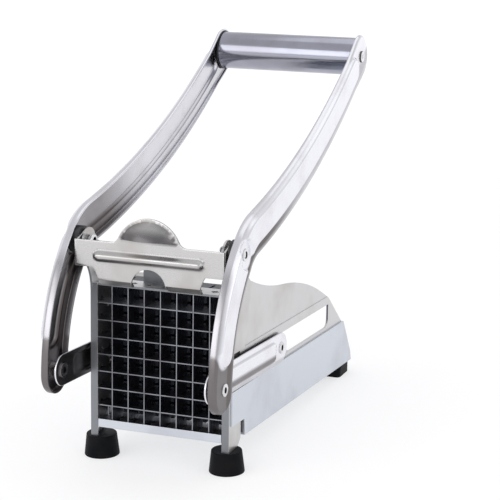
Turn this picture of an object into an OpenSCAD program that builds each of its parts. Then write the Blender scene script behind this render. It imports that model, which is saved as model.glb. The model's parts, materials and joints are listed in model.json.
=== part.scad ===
// Lever-operated french fry cutter: a potato lies in a sheet steel trough, a long
// lever pulls a studded pusher along it, and a lift-out blade cassette at the front
// cuts the potato into square sticks.
//
// Body frame: X is right, Y runs back from the front edge of the side plates, and
// Z is up from the level of the front feet. The last step leans the body back onto
// its shorter rear feet and puts the origin under the middle of the whole object.

/* [Blade cassette] */
// Pitch of the blades, which is the width of one stick
cell = 9.5; // [8:0.5:13]
// Number of sticks across, and as many upwards
cells = 8; // [5:1:9]
// Thickness of one blade
blade_t = 0.6; // [0.4:0.1:1]
// Depth of the cassette along the trough
cassette_d = 14; // [10:0.5:18]
// Thickness of the strip that frames the blades
strip_t = 1.2; // [0.8:0.1:1.6]
// Corner to corner size of the diamond hole at each blade end
diamond = 4.8; // [4:0.2:6.4]
// Width of the finger tab on the cassette
tab_w = 32; // [24:1:44]
// Height of the finger tab above the cassette
tab_h = 22; // [17:1:24]

/* [Trough] */
// Thickness of the body sheets
sheet_t = 1.2; // [0.8:0.1:1.5]
// Gap between the cassette and each side plate
cassette_gap = 0.3; // [0.1:0.1:0.6]
// Length of the base, from the front edge back
base_l = 192; // [175:1:210]
// Height of the underside of the base above the feet
base_z = 16.9; // [14:0.5:22]
// Height of the tray wall above the underside of the base
tray_h = 28; // [20:1:30]
// Height of the seam where the upper side panel is pressed in
seam_z = 65.6; // [63:0.2:70]
// Depth of the press at the seam
seam_d = 0.6; // [0.3:0.1:0.9]
// Distance of the rear end of the seam from the front edge
seam_l = 150; // [146:1:160]
// Width of the front lips that hold the cassette
lip_w = 4.2; // [3:0.2:5]
// Depth of each front leg along the trough
leg_d = 15.2; // [12:0.2:18]
// Height of the lip along the front of the base
sill_h = 4.6; // [3:0.2:6]
// Width of the relief notch behind each front leg
notch_w = 3; // [2:0.5:5]
// Height of the relief notch above the base
notch_h = 8; // [6:0.5:10]

/* [Slide slot] */
// Height of the middle of the slot
slot_z = 53.9; // [52:0.1:55.5]
// Height of the slot opening
slot_h = 13.4; // [11:0.2:14.4]
// Front end of the slot, from the front edge
slot_y0 = 24; // [20:1:34]
// Rear end of the slot, from the front edge
slot_y1 = 151; // [151:1:156]
// Radius of the lower rear corner of the slot
slot_corner_r = 5; // [3:0.5:6]

/* [Feet] */
// Lean of the body on its feet, front end up, in degrees
lean = 3; // [2:0.25:3.5]
// Radius of a front foot where it stands
foot_r = 9.8; // [8.5:0.2:11]
// Radius of a front foot at its top
foot_top_r = 8.3; // [7:0.1:9.5]
// Height of a front foot
foot_h = 12; // [10:0.5:14]
// Length of a rear foot along the trough
rear_foot_l = 17; // [13:1:20]
// Width of a rear foot
rear_foot_w = 18; // [14:1:22]

/* [Lever] */
// Distance of the main pivot in front of the front edge
pivot_fwd = 4.2; // [4:0.1:6]
// Height of the main pivot
pivot_z = 120.6; // [118:0.2:126]
// Width of a lever arm
arm_w = 23; // [20:0.5:24]
// Thickness of the arm sheet
arm_t = 1.2; // [1:0.1:1.5]
// Distance of the outer face of each arm from the middle
arm_x = 50; // [50:0.5:54]
// Depth of the lips turned in along an arm
arm_lip = 4.5; // [3.5:0.1:4.7]
// Depth of the same lips at the handle
end_lip = 2.3; // [1.8:0.1:3.4]
// Height of the ridge pressed out along an arm
ridge_h = 1.8; // [1:0.1:2.4]
// Width of the flat flange that the ridge leaves along the rear edge
flange_w = 3.8; // [3:0.2:6]
// Radius of the round flat at the main pivot
pivot_flat_r = 7.3; // [6.5:0.1:8]
// Radius of the round end of an arm at the handle
end_r = 13; // [12.6:0.1:14]
// Distance over which an arm widens to its round end
end_run = 18; // [14:1:24]
// Length of an arm beyond its foot pivot, before its round end
foot_over = 1.5; // [0:0.5:4]
// Heading of the arm at the main pivot, above the horizontal
pivot_heading = 46; // [44:1:50]
// Distance of the arm's middle line behind the main pivot
pivot_back = 2.4; // [1.5:0.1:2.8]
// Bend radius of the arm below the main pivot
low_bend_r = 97.4; // [90:0.2:110]
// Turn of the bend below the main pivot
low_bend = 41.7; // [38:0.1:46]
// Radius of the tight bend above the main pivot
knee_r = 33.4; // [28:0.2:40]
// Turn of the tight bend
knee_bend = 33.2; // [30:0.1:38]
// Radius of the long reverse bend up to the handle
sweep_r = 476.6; // [440:0.2:510]
// Turn of the long reverse bend
sweep_bend = 22.9; // [20:0.1:26]
// Angle by which each arm leans inwards towards the handle
arm_splay = 1.3; // [0:0.1:2]

/* [Handle] */
// Outer radius of the handle tube
handle_r = 11.2; // [9.6:0.1:11.3]
// Wall of the handle tube
handle_wall = 1.2; // [0.8:0.1:2]
// Visible thickness of the cap at each end of the tube
cap_t = 0.8; // [0.6:0.1:2]
// Radius of the rod through the handle
rod_r = 2.5; // [2:0.1:3]

/* [Pivots] */
// Radius of the hollow rivets at the main pivots
pivot_r = 2.5; // [2:0.1:2.8]
// Radius of the hollow rivets at the foot of the lever
link_pin_r = 2.4; // [2:0.1:2.8]
// Running clearance of every pivot, on the radius
run_fit = 0.05; // [0.02:0.01:0.1]
// Side clearance between parts that turn on each other
side_gap = 0.1; // [0.05:0.05:0.3]
// Radius of the ear that carries each main pivot
ear_r = 7; // [6:0.1:8.5]
// Turns of the return spring of the gate
spring_turns = 2; // [2:1:4]

/* [Links] */
// Distance of the pusher axle from the front edge, with the handle nearly home
axle_y = 67; // [64:0.5:68]
// Width of a link
link_w = 17; // [14:0.5:17.5]
// Thickness of a link
link_t = 1.2; // [1:0.1:1.4]
// Height of the channel pressed along a link
link_press = 1.3; // [0.8:0.1:1.6]
// Distance of the channel from the front eye
press_front = 13; // [11:0.5:20]
// Distance of the channel from the rear eye
press_rear = 10; // [8:0.5:20]

/* [Pusher] */
// Gap between the studs, which lets the blades in
stud_gap = 1.4; // [1:0.1:2.2]
// Length of a stud
stud_l = 9; // [6:0.5:12]
// Thickness of the plate that carries the studs
stud_plate = 4; // [3:0.5:6]
// Distance of the stud faces behind the cassette, with the handle nearly home
stud_back = 5.6; // [5.2:0.1:8]
// Radius of the axle through the pusher
axle_r = 3; // [2.4:0.1:3.4]
// Radial gap between a slide bush and the edges of its slot
bush_gap = 0.3; // [0.2:0.05:0.6]

/* [Gate] */
// Distance of the front face of the gate in front of the front edge
gate_fwd = 15; // [14:0.5:17]
// Thickness of the gate sheet
gate_t = 1.2; // [0.8:0.1:1.5]
// Half width of the gate over its ears
gate_x = 42.8; // [42.2:0.1:44]
// Height of the top edge of the gate
gate_top = 123; // [122:0.5:126]
// Height of the lower edge of the gate at its ends
gate_end = 108.8; // [107:0.2:112]
// Half width of the two lower flaps
flap_x = 31; // [27:0.5:34]
// Height of the fold at the foot of the flaps
flap_z = 102.4; // [101:0.2:104]
// Length of the lip folded back under each flap
flap_lip = 5; // [3:0.2:6]
// Radius of the arched notch between the flaps
arch_r = 10; // [8:0.5:12]
// Height of the top of the arched notch
arch_top = 110.1; // [108:0.1:111]
// Height of the stiffening rib
rib_z = 115; // [114.5:0.1:116]
// Half length of the stiffening rib
rib_x = 31.5; // [26:0.5:34]
// Radius of the stiffening rib
rib_r = 2.6; // [2:0.1:3]
// Radius of the round thumb plate
thumb_r = 19; // [18.5:0.25:22]
// Height of the top of the thumb plate
thumb_top = 137; // [135:0.5:139]
// Radius of the ball pressed into the thumb plate
dome_ball_r = 22; // [20:0.2:26]
// Radius of the pressed dome in the plane of the gate
dome_r = 17.4; // [14:0.1:17.5]
// Height of the straight lower edge of the dome above the gate's top edge
dome_rise = 1.8; // [1:0.1:4]
// Radius of the fillets where the thumb plate grows out of the gate
thumb_fillet = 5; // [2:0.5:7]
// Radius of the ear at each end of the gate
gate_ear_r = 5.8; // [5:0.1:7.4]

/* [Hidden] */

$fn = 48;

steel = "#c9ccd2";
bright_steel = "#e2e4ea";
grid_steel = "#b4b8c0";
black_nylon = "#26262a";
black_rubber = "#18181a";
navy_plastic = "#20243a";

// Cassette
grid = cell * cells;
cassette_x = grid / 2 + strip_t;
cassette_y0 = 0.2;
cassette_y1 = cassette_y0 + cassette_d;
grid_z0 = base_z + sheet_t + 0.2 + strip_t;
grid_mid = grid_z0 + grid / 2;
cassette_top = grid_z0 + grid + strip_t;
blade_fit = 0.05;
blade_bevel = 0.8;
blade_tab = 3;
corner_r = 1.5;

// Side plates and tray
plate_in = cassette_x + cassette_gap;
plate_out = plate_in + sheet_t;
tray_out = plate_out + sheet_t;
base_top = base_z + sheet_t;
tray_top = base_z + tray_h;
front_y = -sheet_t;
rear_setback = 4;
toe_back = 6;
lip_shoulder = 12;
brow_at = [79, 87.5];
brow_heading = -6;
dip_r = 200;
dip_turn = 15;
leg_z = 6;
lip_top = 97;

// Pivots of the lever, worked out along its middle line
main_pivot = [-pivot_fwd, pivot_z];
arm_start = main_pivot - pivot_back * across(pivot_heading);
foot_heading = pivot_heading + low_bend;
knee_heading = pivot_heading - knee_bend;
top_heading = knee_heading + sweep_bend;
low_centre = right_centre(arm_start, pivot_heading, low_bend_r);
link_pivot = low_centre + low_bend_r * across(foot_heading);
foot_end_heading = foot_heading + foot_over / low_bend_r * 180 / PI;
foot_end = low_centre + low_bend_r * across(foot_end_heading);
knee_centre = right_centre(arm_start, pivot_heading, knee_r);
knee_end = knee_centre + knee_r * across(knee_heading);
sweep_centre = knee_end + sweep_r * across(knee_heading);
handle_at = sweep_centre - sweep_r * across(top_heading);
axle_at = [axle_y, slot_z];

// Rim of the handle caps over the tube, and depth of their plug in it
cap_rim = 0.4;
plug_l = 8;

// Places across the mechanism, outwards from the middle
link_in = tray_out + 0.3;
link_out = link_in + link_t;
arm_in = arm_x - arm_t;
head_t = 0.7;
head_r = 3.4;
inner_head_r = 4;
inner_head_sink = 0.4;
collar_wall = 2;
rivet_bore = 1.4;
spring_wire = 0.8;
coil_pitch = 1.1 * spring_wire;
neck_l = coil_pitch * spring_turns + 0.6;
neck_r = pivot_r - 0.4;
spring_gap = 0.15;
spring_front_leg = 12;
spring_rear_leg = 10;

// Nylon spacer at each main pivot, which turns inside the lips of the arm
spacer_gap = 0.4;
spacer_r = arm_w / 2 - pivot_back - arm_t - spacer_gap;

// The lapped pieces of an arm are thicker by lap all round than their neighbours
lap = 0.02;
lap_run = 0.3;
lap_angle = 2;
core_r = 1;
seat = 0.03;

// How far the splay brings an arm inwards, at the handle and across its own width
handle_shift = (handle_at[0] - arm_start[0]) * sin(arm_splay);
width_shift = arm_w / 2 * sin(arm_splay);
end_shift = end_r * sin(arm_splay);
handle_in = arm_in - handle_shift - end_shift - 3 * lap - side_gap;

// Pusher
stud = cell - stud_gap;
stud_y = cassette_y1 + stud_back;
block_y = stud_y + stud_l;
carrier_y = block_y + stud_plate;
carrier_t = 1.5;
pusher_half = grid / 2 - stud_gap / 2;
cheek_x = pusher_half - 1;
bush_r = slot_h / 2 - bush_gap;

// Small solid rivets
rivet_head_r = 3.2;
rivet_shank_r = 1.6;
rivet_head_t = 1;
rivet_grip = 3;

// Gate
gate_y0 = -gate_fwd;
gate_y1 = gate_y0 + gate_t;
thumb_z = thumb_top - thumb_r;
dome_cut = gate_top + dome_rise;
dome_depth = sqrt(dome_ball_r * dome_ball_r - dome_r * dome_r);

// Stance: the floor meets the front feet at Y = foot_y
foot_y = 5.2;
foot_x = plate_in - 2.4;
rear_foot_y1 = base_l - 0.6;
rear_foot_mid = rear_foot_y1 - rear_foot_l / 2;
floor_lift = foot_y * sin(lean);
stance_front = level_y(low_centre) - low_bend_r - arm_w / 2;
stance_rear = level_y(handle_at) + max(handle_r + cap_rim, end_r + 3 * lap);
stance_mid = (stance_front + stance_rear) / 2;

far = 200;
eps = 0.01;

// Unit vector of a heading in the YZ plane, and the one to its left
function along(h) = [cos(h), sin(h)];
function across(h) = [-sin(h), cos(h)];

// Centre of a right-hand bend that starts at p with heading h
function right_centre(p, h, r) = p - r * across(h);

// Distance along the floor of a point [y, z] of the body once the body leans
function level_y(p) = p[0] * cos(lean) + p[1] * sin(lean);

// Points of an arc in the plane
function arc(c, r, a0, a1, n = 8) =
    [for (i = [0 : n]) c + r * along(a0 + (a1 - a0) * i / n)];

// Leans the body onto its feet and centres the object over the origin
module stance() {
    translate([0, -stance_mid, floor_lift]) rotate([-lean, 0, 0]) children();
}

// Right-hand part, or its mirror image on the left
module on_side(right) {
    mirror([right ? 0 : 1, 0, 0]) children();
}

// Profile drawn in the YZ plane and extruded outwards from x by t
module side_sheet(x, t) {
    translate([x, 0, 0]) rotate([90, 0, 90]) linear_extrude(t) children();
}

// Round bar along X at the point p of the YZ plane
module cross_bar(p, r, x0, x1) {
    translate([x0, p[0], p[1]]) rotate([0, 90, 0]) cylinder(r = r, h = x1 - x0);
}

// Rectangle with round corners, centred
module round_rect(w, h, r) {
    square([w - 2 * r, h], center = true);
    square([w, h - 2 * r], center = true);
    for (x = [-1, 1], y = [-1, 1])
        translate([x * (w / 2 - r), y * (h / 2 - r)]) circle(r);
}

// Slot with round ends between two points on one height
module stadium(y0, y1, z, r) {
    translate([y0, z - r]) square([y1 - y0, 2 * r]);
    for (y = [y0, y1]) translate([y, z]) circle(r);
}

// ---- Trough ----

// Outline of the leg, post and ear at the front of a side plate
module post_outline() {
    ear_low = main_pivot + ear_r * along(200);
    hook_r = lip_shoulder + 2;
    polygon(concat(
        [[front_y, leg_z], [leg_d - toe_back, leg_z], [leg_d - toe_back + 1, foot_h - 0.4],
         [leg_d, foot_h + 4], [leg_d, tray_top], [leg_d + lip_shoulder, lip_top],
         main_pivot + ear_r * along(20)],
        arc(main_pivot, ear_r, 40, 200),
        arc([ear_low[0] - hook_r, lip_top - 4], hook_r + front_y - ear_low[0], 38, 0, 4)));
}

// Outline of the panel between the base and the curved top edge
module panel_outline() {
    chord = [seam_l, seam_z] - brow_at;
    half_turn = brow_heading - atan2(chord[1], chord[0]);
    hump_r = norm(chord) / 2 / sin(half_turn);
    seam_end = brow_heading - 2 * half_turn;
    rear_slope = (base_l - rear_setback - seam_l) / (seam_z - base_top);
    polygon(concat(
        [[leg_d + notch_w, base_top], [base_l - rear_setback, base_top],
         [seam_l + (seam_z - tray_top) * rear_slope * 1.55, tray_top], [seam_l + 2, seam_z - 1.2]],
        arc(brow_at - hump_r * across(brow_heading), hump_r, seam_end + 90, brow_heading + 90),
        arc(brow_at + dip_r * across(brow_heading), dip_r, brow_heading - 90,
            brow_heading - 90 - dip_turn, 6),
        [main_pivot + [ear_r + 4.2, -4.6], [0, lip_top + 3], [0, tray_top - 10],
         [leg_d, base_top + notch_h], [leg_d + notch_w, base_top + notch_h]]));
}

// Window of the slot, round at its front and at its lower rear corner, and the
// small square hole in front of it
module slot_outline() {
    low = slot_z - slot_h / 2;
    translate([slot_y0, low]) square([slot_y1 - slot_y0 - slot_corner_r, slot_h]);
    translate([slot_y0, low + slot_corner_r]) square([slot_y1 - slot_y0, slot_h - slot_corner_r]);
    translate([slot_y1 - slot_corner_r, low + slot_corner_r]) circle(slot_corner_r);
    translate([slot_y0, slot_z]) circle(slot_h / 2);
    translate([2, slot_z + 3]) square([leg_d - 4, slot_h / 2 + 1]);
}

module side_plate() {
    color(bright_steel) {
        difference() {
            union() {
                side_sheet(plate_in, sheet_t) post_outline();
                side_sheet(plate_in, sheet_t) intersection() {
                    panel_outline();
                    square([far, seam_z]);
                }
                side_sheet(plate_in, sheet_t) intersection() {
                    panel_outline();
                    square([leg_d + 1, far]);
                }
                side_sheet(plate_in - seam_d, sheet_t) intersection() {
                    panel_outline();
                    translate([leg_d, seam_z - 1]) square([far, far]);
                }
                translate([plate_out - lip_w, front_y, leg_z])
                    cube([lip_w, sheet_t, lip_top - leg_z]);
            }
            side_sheet(plate_in - 2, far) slot_outline();
            cross_bar(main_pivot, pivot_r, 0, far);
        }
        // Pips that hold the cassette from behind
        for (z = [grid_mid - 24, grid_mid + 22])
            cross_bar([cassette_y1 + 2.2, z], 1.8, plate_in - seam_d - 0.5, plate_in);
    }
}

module side_plate_right() { on_side(true) side_plate(); }

module side_plate_left() { on_side(false) side_plate(); }

// Outline of a tray wall
module tray_wall_outline() {
    polygon([[1, tray_top], [1, base_z + notch_h + sheet_t], [leg_d + notch_w, base_z + notch_h + sheet_t],
             [leg_d + notch_w, base_z], [base_l, base_z], [base_l - 1.5, base_z + 6],
             [base_l - 15.5, tray_top]]);
}

module base_tray() {
    color(steel) {
        for (right = [true, false])
            on_side(right) side_sheet(plate_out, sheet_t) tray_wall_outline();
        translate([-tray_out, leg_d + notch_w, base_z])
            cube([2 * tray_out, base_l - leg_d - notch_w, sheet_t]);
        translate([-plate_in, 0, base_z]) cube([2 * plate_in, leg_d + notch_w + eps, sheet_t]);
        translate([0, 0, base_z]) rotate([90, 0, 0]) linear_extrude(sheet_t)
            translate([-(plate_out - lip_w) + 0.2, 0])
                square([2 * (plate_out - lip_w) - 0.4, sill_h]);
    }
}

// ---- Feet ----

// Everything below the floor
module under_floor() {
    rotate([lean, 0, 0]) translate([-far, -far, -far - floor_lift])
        cube([2 * far, 2.5 * far, far]);
}

module front_foot() {
    color(black_rubber) difference() {
        translate([foot_x, foot_y, 0]) rotate([lean, 0, 0]) translate([0, 0, -1])
            cylinder(r1 = foot_r, r2 = foot_top_r, h = foot_h + 1);
        under_floor();
        side_sheet(plate_in, sheet_t) post_outline();
        translate([plate_out - lip_w, front_y, leg_z]) cube([lip_w, sheet_t, far]);
    }
}

module front_foot_right() { on_side(true) front_foot(); }

module front_foot_left() { on_side(false) front_foot(); }

// Block under a rear corner, with a recess for the head of its rivet
module rear_foot() {
    color(black_rubber) difference() {
        translate([plate_out - rear_foot_w / 2, rear_foot_mid, 0])
            linear_extrude(base_z) round_rect(rear_foot_w, rear_foot_l, 2.5);
        under_floor();
        translate([plate_out - rear_foot_w / 2, rear_foot_mid, 0])
            cylinder(r = rivet_head_r, h = base_z - rivet_grip);
        translate([plate_out - rear_foot_w / 2, rear_foot_mid, 0])
            cylinder(r = rivet_shank_r, h = base_z + 1);
    }
}

module rear_foot_right() { on_side(true) rear_foot(); }

module rear_foot_left() { on_side(false) rear_foot(); }

module rear_foot_rivets() {
    color(steel) for (right = [true, false]) on_side(right)
        translate([plate_out - rear_foot_w / 2, rear_foot_mid, 0]) {
            translate([0, 0, base_z - rivet_grip - rivet_head_t]) cylinder(r = rivet_head_r, h = rivet_head_t);
            translate([0, 0, base_z - rivet_grip - eps]) cylinder(r = rivet_shank_r, h = rivet_grip + eps);
        }
}

// ---- Main pivots ----

// Hollow rivet that carries an arm, the gate and a spring on its side of the body
module main_rivet() {
    color(steel) difference() {
        union() {
            cross_bar(main_pivot, pivot_r, plate_in, arm_x + side_gap);
            cross_bar(main_pivot, head_r, arm_x + side_gap, arm_x + side_gap + head_t);
            cross_bar(main_pivot, neck_r, plate_in - neck_l, plate_in + eps);
            cross_bar(main_pivot, head_r, plate_in - neck_l - head_t, plate_in - neck_l);
        }
        cross_bar(main_pivot, rivet_bore, 0, far);
    }
}

module main_rivet_right() { on_side(true) main_rivet(); }

module main_rivet_left() { on_side(false) main_rivet(); }

module pivot_spacer() {
    color(black_nylon) difference() {
        cross_bar(main_pivot, spacer_r, gate_x + side_gap, arm_in - width_shift - lap - side_gap);
        cross_bar(main_pivot, pivot_r, 0, far);
    }
}

module pivot_spacer_right() { on_side(true) pivot_spacer(); }

module pivot_spacer_left() { on_side(false) pivot_spacer(); }

// Close-wound return spring of the gate, as touching rings, with its two legs
module gate_spring() {
    ring_r = neck_r + spring_gap + spring_wire / 2;
    color(grid_steel) translate([plate_in - 0.2, main_pivot[0], main_pivot[1]]) {
        for (i = [0 : spring_turns - 1])
            translate([-coil_pitch * (i + 0.5), 0, 0]) rotate([0, 90, 0])
                rotate_extrude($fn = 32) translate([ring_r, 0]) circle(coil_pitch / 2 + eps, $fn = 16);
        translate([-coil_pitch / 2, ring_r, 0]) rotate([180, 0, 0])
            cylinder(r = spring_wire / 2, h = spring_front_leg, $fn = 16);
        translate([-coil_pitch * (spring_turns - 0.5), -ring_r, 0]) rotate([150, 0, 0])
            cylinder(r = spring_wire / 2, h = spring_rear_leg, $fn = 16);
    }
}

module gate_spring_right() { on_side(true) gate_spring(); }

module gate_spring_left() { on_side(false) gate_spring(); }

// ---- Gate ----

// Front outline of the gate, in the XZ plane
module gate_outline() {
    difference() {
        union() {
            translate([-gate_x, gate_end]) square([2 * gate_x, gate_top - gate_end]);
            polygon([[-flap_x, gate_end + 1], [-flap_x, gate_end - 2], [-flap_x + 1.6, flap_z],
                     [flap_x - 1.6, flap_z], [flap_x, gate_end - 2], [flap_x, gate_end + 1]]);
            intersection() {
                translate([0, thumb_z]) circle(thumb_r);
                translate([-far, gate_top - 1]) square([2 * far, far]);
            }
            for (side = [-1, 1]) thumb_web(side);
        }
        arch_outline();
    }
}

// Fillet between the gate's top edge and one side of the thumb plate
module thumb_web(side) {
    drop = gate_top + thumb_fillet - thumb_z;
    run = sqrt((thumb_r + thumb_fillet) * (thumb_r + thumb_fillet) - drop * drop);
    meet = run * thumb_r / (thumb_r + thumb_fillet);
    difference() {
        polygon([[side * (meet - 2), gate_top - 1], [side * run, gate_top - 1], [side * run, gate_top],
                 [side * meet, thumb_z + drop * thumb_r / (thumb_r + thumb_fillet)],
                 [side * (meet - 2), gate_top]]);
        translate([side * run, gate_top + thumb_fillet]) circle(thumb_fillet);
    }
}

// Arched notch that lets the fingers reach the cassette
module arch_outline() {
    translate([0, arch_top - arch_r]) circle(arch_r);
    translate([-arch_r, flap_z - far]) square([2 * arch_r, arch_top - arch_r - flap_z + far]);
}

// Lip folded back under the flaps
module flap_lips() {
    difference() {
        translate([0, gate_y0, flap_z]) rotate([45, 0, 0])
            translate([-flap_x + 1.6, 0, -flap_lip]) cube([2 * (flap_x - 1.6), gate_t, flap_lip]);
        rotate([90, 0, 0]) linear_extrude(far, center = true) arch_outline();
    }
}

// Ear at one end of the gate, bent back to the main pivot
module gate_ear() {
    side_sheet(gate_x - gate_t, gate_t) {
        translate(main_pivot) circle(gate_ear_r);
        polygon([[gate_y0, gate_end], [gate_y0, gate_top], main_pivot + [0, gate_ear_r],
                 main_pivot - [0, gate_ear_r]]);
    }
}

// Solid ball and rib that stand out of the gate, shrunk by inset
module gate_pressings(inset) {
    intersection() {
        translate([0, gate_y0 + dome_depth, thumb_z]) sphere(dome_ball_r - inset);
        translate([-far, gate_y0 - far, dome_cut]) cube([2 * far, far + eps, far]);
    }
    translate([0, gate_y0, rib_z]) rotate([0, 90, 0]) rotate_extrude()
        polygon(concat(arc([0, rib_x - rib_r], rib_r - inset, 90, 0, 4),
                       arc([0, rib_r - rib_x], rib_r - inset, 0, -90, 4)));
}

module gate_plate() {
    color(steel) difference() {
        union() {
            translate([0, gate_y1, 0]) rotate([90, 0, 0]) linear_extrude(gate_t) gate_outline();
            for (right = [true, false]) on_side(right) gate_ear();
            flap_lips();
            intersection() {
                gate_pressings(0);
                translate([-far, gate_y0 - far, 0]) cube([2 * far, far + gate_t / 2, far]);
            }
        }
        gate_pressings(gate_t);
        cross_bar(main_pivot, pivot_r + run_fit, -far, far);
    }
}

// ---- Lever ----

// Right-hand bend of a profile given as [distance to the right, x] points. A lapped
// bend runs on a little at both ends, into its neighbours.
module right_bend(centre, r, h0, h1, profile, lapped = 0) {
    run_on = lapped / r * 180 / PI;
    translate([0, centre[0], centre[1]]) rotate([90, 0, 90]) rotate([0, 0, h1 - run_on + 90])
        rotate_extrude(angle = h0 - h1 + 2 * run_on, $fn = 180)
            polygon([for (p = profile) [r - p[0], p[1]]]);
}

// Left-hand bend of the same kind of profile
module left_bend(centre, r, h0, h1, profile) {
    translate([0, centre[0], centre[1]]) rotate([90, 0, 90]) rotate([0, 0, h0 - 90])
        rotate_extrude(angle = h1 - h0, $fn = 360) polygon([for (p = profile) [r + p[0], p[1]]]);
}

// Half a profile swept round the point it starts from, symmetrically about heading h
// and a little further at both ends, with a core in the middle
module round_end(centre, h, half_profile, turn = 180) {
    translate([0, centre[0], centre[1]]) rotate([90, 0, 90]) rotate([0, 0, h - turn / 2 - lap_angle])
        rotate_extrude(angle = turn + 2 * lap_angle) polygon(half_profile);
    cross_bar(centre, core_r, half_profile[0][1], half_profile[len(half_profile) - 1][1]);
}

// Straight run of the same kind of profile, from p back against heading h
module run_back(p, h, l, profile) {
    translate([0, p[0], p[1]]) rotate([90, 0, 90]) rotate([0, 0, h])
        rotate([90, 0, -90]) linear_extrude(l) polygon(profile);
}

// Splays what lies above the main pivot inwards
module splayed() {
    translate([arm_x, arm_start[0], 0]) rotate([0, 0, arm_splay])
        translate([-arm_x, -arm_start[0], 0]) children();
}

// Right half of the channel section, out to r: the web, its rounded edge and its lip.
// Every face lies g outside that of the plain section.
function arm_half(g, start = 0, r = arm_w / 2) = [[start, arm_in - g],
    [r - arm_t - 0.6, arm_in - g], [r - arm_t - g, arm_in - 0.7],
    [r - arm_t - g, arm_x - arm_lip - g], [r + g, arm_x - arm_lip - g], [r + g, arm_x - 1.9],
    [r - 0.5 + g, arm_x - 0.7 + g], [r - 1.7, arm_x + g], [start, arm_x + g]];
function flipped(profile) = [for (i = [len(profile) - 1 : -1 : 0]) [-profile[i][0], profile[i][1]]];
function arm_section(g) = let (half = arm_half(g), left = flipped(half))
    concat(half, [for (i = [1 : len(left) - 2]) left[i]]);

// The ridge runs between the front edge and the flange. The hollow under it is the
// same, shrunk.
ridge_margin = 0.5;
ridge_edge = 1.9;
ridge_w = arm_w - flange_w - ridge_margin;
ridge_s = (ridge_margin - flange_w) / 2;
function ridge_half(shrink, x0, x1, g) = [[core_r / 2, x0 - g],
    [ridge_w / 2 - shrink + g, x0 - g], [ridge_w / 2 - ridge_edge - shrink + g, x1 + g],
    [core_r / 2, x1 + g]];
function ridge_full(shrink, x0, x1, g) = let (foot = ridge_w / 2 - shrink + g, top = foot - ridge_edge)
    [[ridge_s - foot, x0 - g], [ridge_s + foot, x0 - g], [ridge_s + top, x1 + g], [ridge_s - top, x1 + g]];

// Flats that the ridge leaves before the two end pivots
foot_flat = 11;
top_flat = 8.5;
ridge_foot = foot_heading - (foot_flat + ridge_w / 2) / low_bend_r * 180 / PI;
ridge_top = top_heading - (top_flat + ridge_w / 2) / sweep_r * 180 / PI;
hollow_rim = 1;

// Ridge along the whole arm, cut out round the main pivot to radius clear
module ridge(shrink, x0, x1, clear) {
    difference() {
        union() {
            right_bend(low_centre, low_bend_r, ridge_foot, pivot_heading, ridge_full(shrink, x0, x1, 0));
            round_end(low_centre + (low_bend_r - ridge_s) * across(ridge_foot), ridge_foot + 180,
                      ridge_half(shrink, x0, x1, 2 * lap));
            splayed() {
                right_bend(knee_centre, knee_r, pivot_heading, knee_heading,
                           ridge_full(shrink, x0, x1, lap), lap_run);
                left_bend(sweep_centre, sweep_r, knee_heading, ridge_top, ridge_full(shrink, x0, x1, 0));
                round_end(sweep_centre - (sweep_r + ridge_s) * across(ridge_top), ridge_top,
                          ridge_half(shrink, x0, x1, 2 * lap));
            }
        }
        cross_bar(main_pivot, clear, arm_in - 1, far);
    }
}

// Round end at the handle, and the two edges that run out to it
module arm_end() {
    reach = norm([end_r, end_run]);
    flare = acos(arm_w / 2 / reach) - atan(end_run / end_r);
    round_end(handle_at, top_heading, arm_half(3 * lap, core_r / 2, end_r), 180 + 2 * flare);
    run_back(handle_at, top_heading - flare, end_run + 1, arm_half(lap, -1, end_r));
    run_back(handle_at, top_heading + flare, end_run + 1, flipped(arm_half(2 * lap, -1, end_r)));
}

// Everything inside the lips, which get shallower from the tight bend to the handle
module lip_taper() {
    start = knee_end[0] + 5;
    translate([arm_x - arm_lip, start, 0])
        rotate([0, 0, -atan((arm_lip - end_lip) / (handle_at[0] - start))])
            translate([-far, -arm_w, 0]) cube([far, 2 * far, 2 * far]);
}

module lever_arm() {
    hollow = arm_t * 0.8;
    color(bright_steel) difference() {
        union() {
            right_bend(low_centre, low_bend_r, foot_end_heading, pivot_heading, arm_section(0));
            round_end(foot_end, foot_end_heading + 180, arm_half(lap, core_r / 2));
            splayed() difference() {
                union() {
                    right_bend(knee_centre, knee_r, pivot_heading, knee_heading, arm_section(lap), lap_run);
                    left_bend(sweep_centre, sweep_r, knee_heading,
                              top_heading - end_run / sweep_r * 180 / PI, arm_section(0));
                    arm_end();
                }
                lip_taper();
            }
            ridge(0, arm_x - arm_t / 2, arm_x + ridge_h, pivot_flat_r);
            cross_bar(main_pivot, spacer_r - 0.5, arm_in - lap / 2, arm_x + lap / 2);
        }
        ridge(hollow, arm_in - 0.5, arm_x + ridge_h - arm_t, pivot_flat_r + hollow_rim);
        cross_bar(main_pivot, pivot_r + run_fit, 0, far);
        cross_bar(link_pivot, link_pin_r, 0, far);
        cross_bar(handle_at, rod_r, 0, far);
    }
}

module lever_arm_right() { on_side(true) lever_arm(); }

module lever_arm_left() { on_side(false) lever_arm(); }

// ---- Handle ----

tube_x = handle_in - cap_t;

module handle_tube() {
    color(steel) difference() {
        cross_bar(handle_at, handle_r, -tube_x, tube_x);
        cross_bar(handle_at, handle_r - handle_wall, -far, far);
    }
}

// Cap that plugs an end of the tube and seats in the round end of the arm
module handle_cap() {
    color(black_nylon) difference() {
        union() {
            cross_bar(handle_at, handle_r + cap_rim, tube_x, handle_in);
            cross_bar(handle_at, handle_r - handle_wall, tube_x - plug_l, tube_x + eps);
        }
        cross_bar(handle_at, rod_r, 0, far);
    }
}

module handle_cap_right() { on_side(true) handle_cap(); }

module handle_cap_left() { on_side(false) handle_cap(); }

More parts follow.
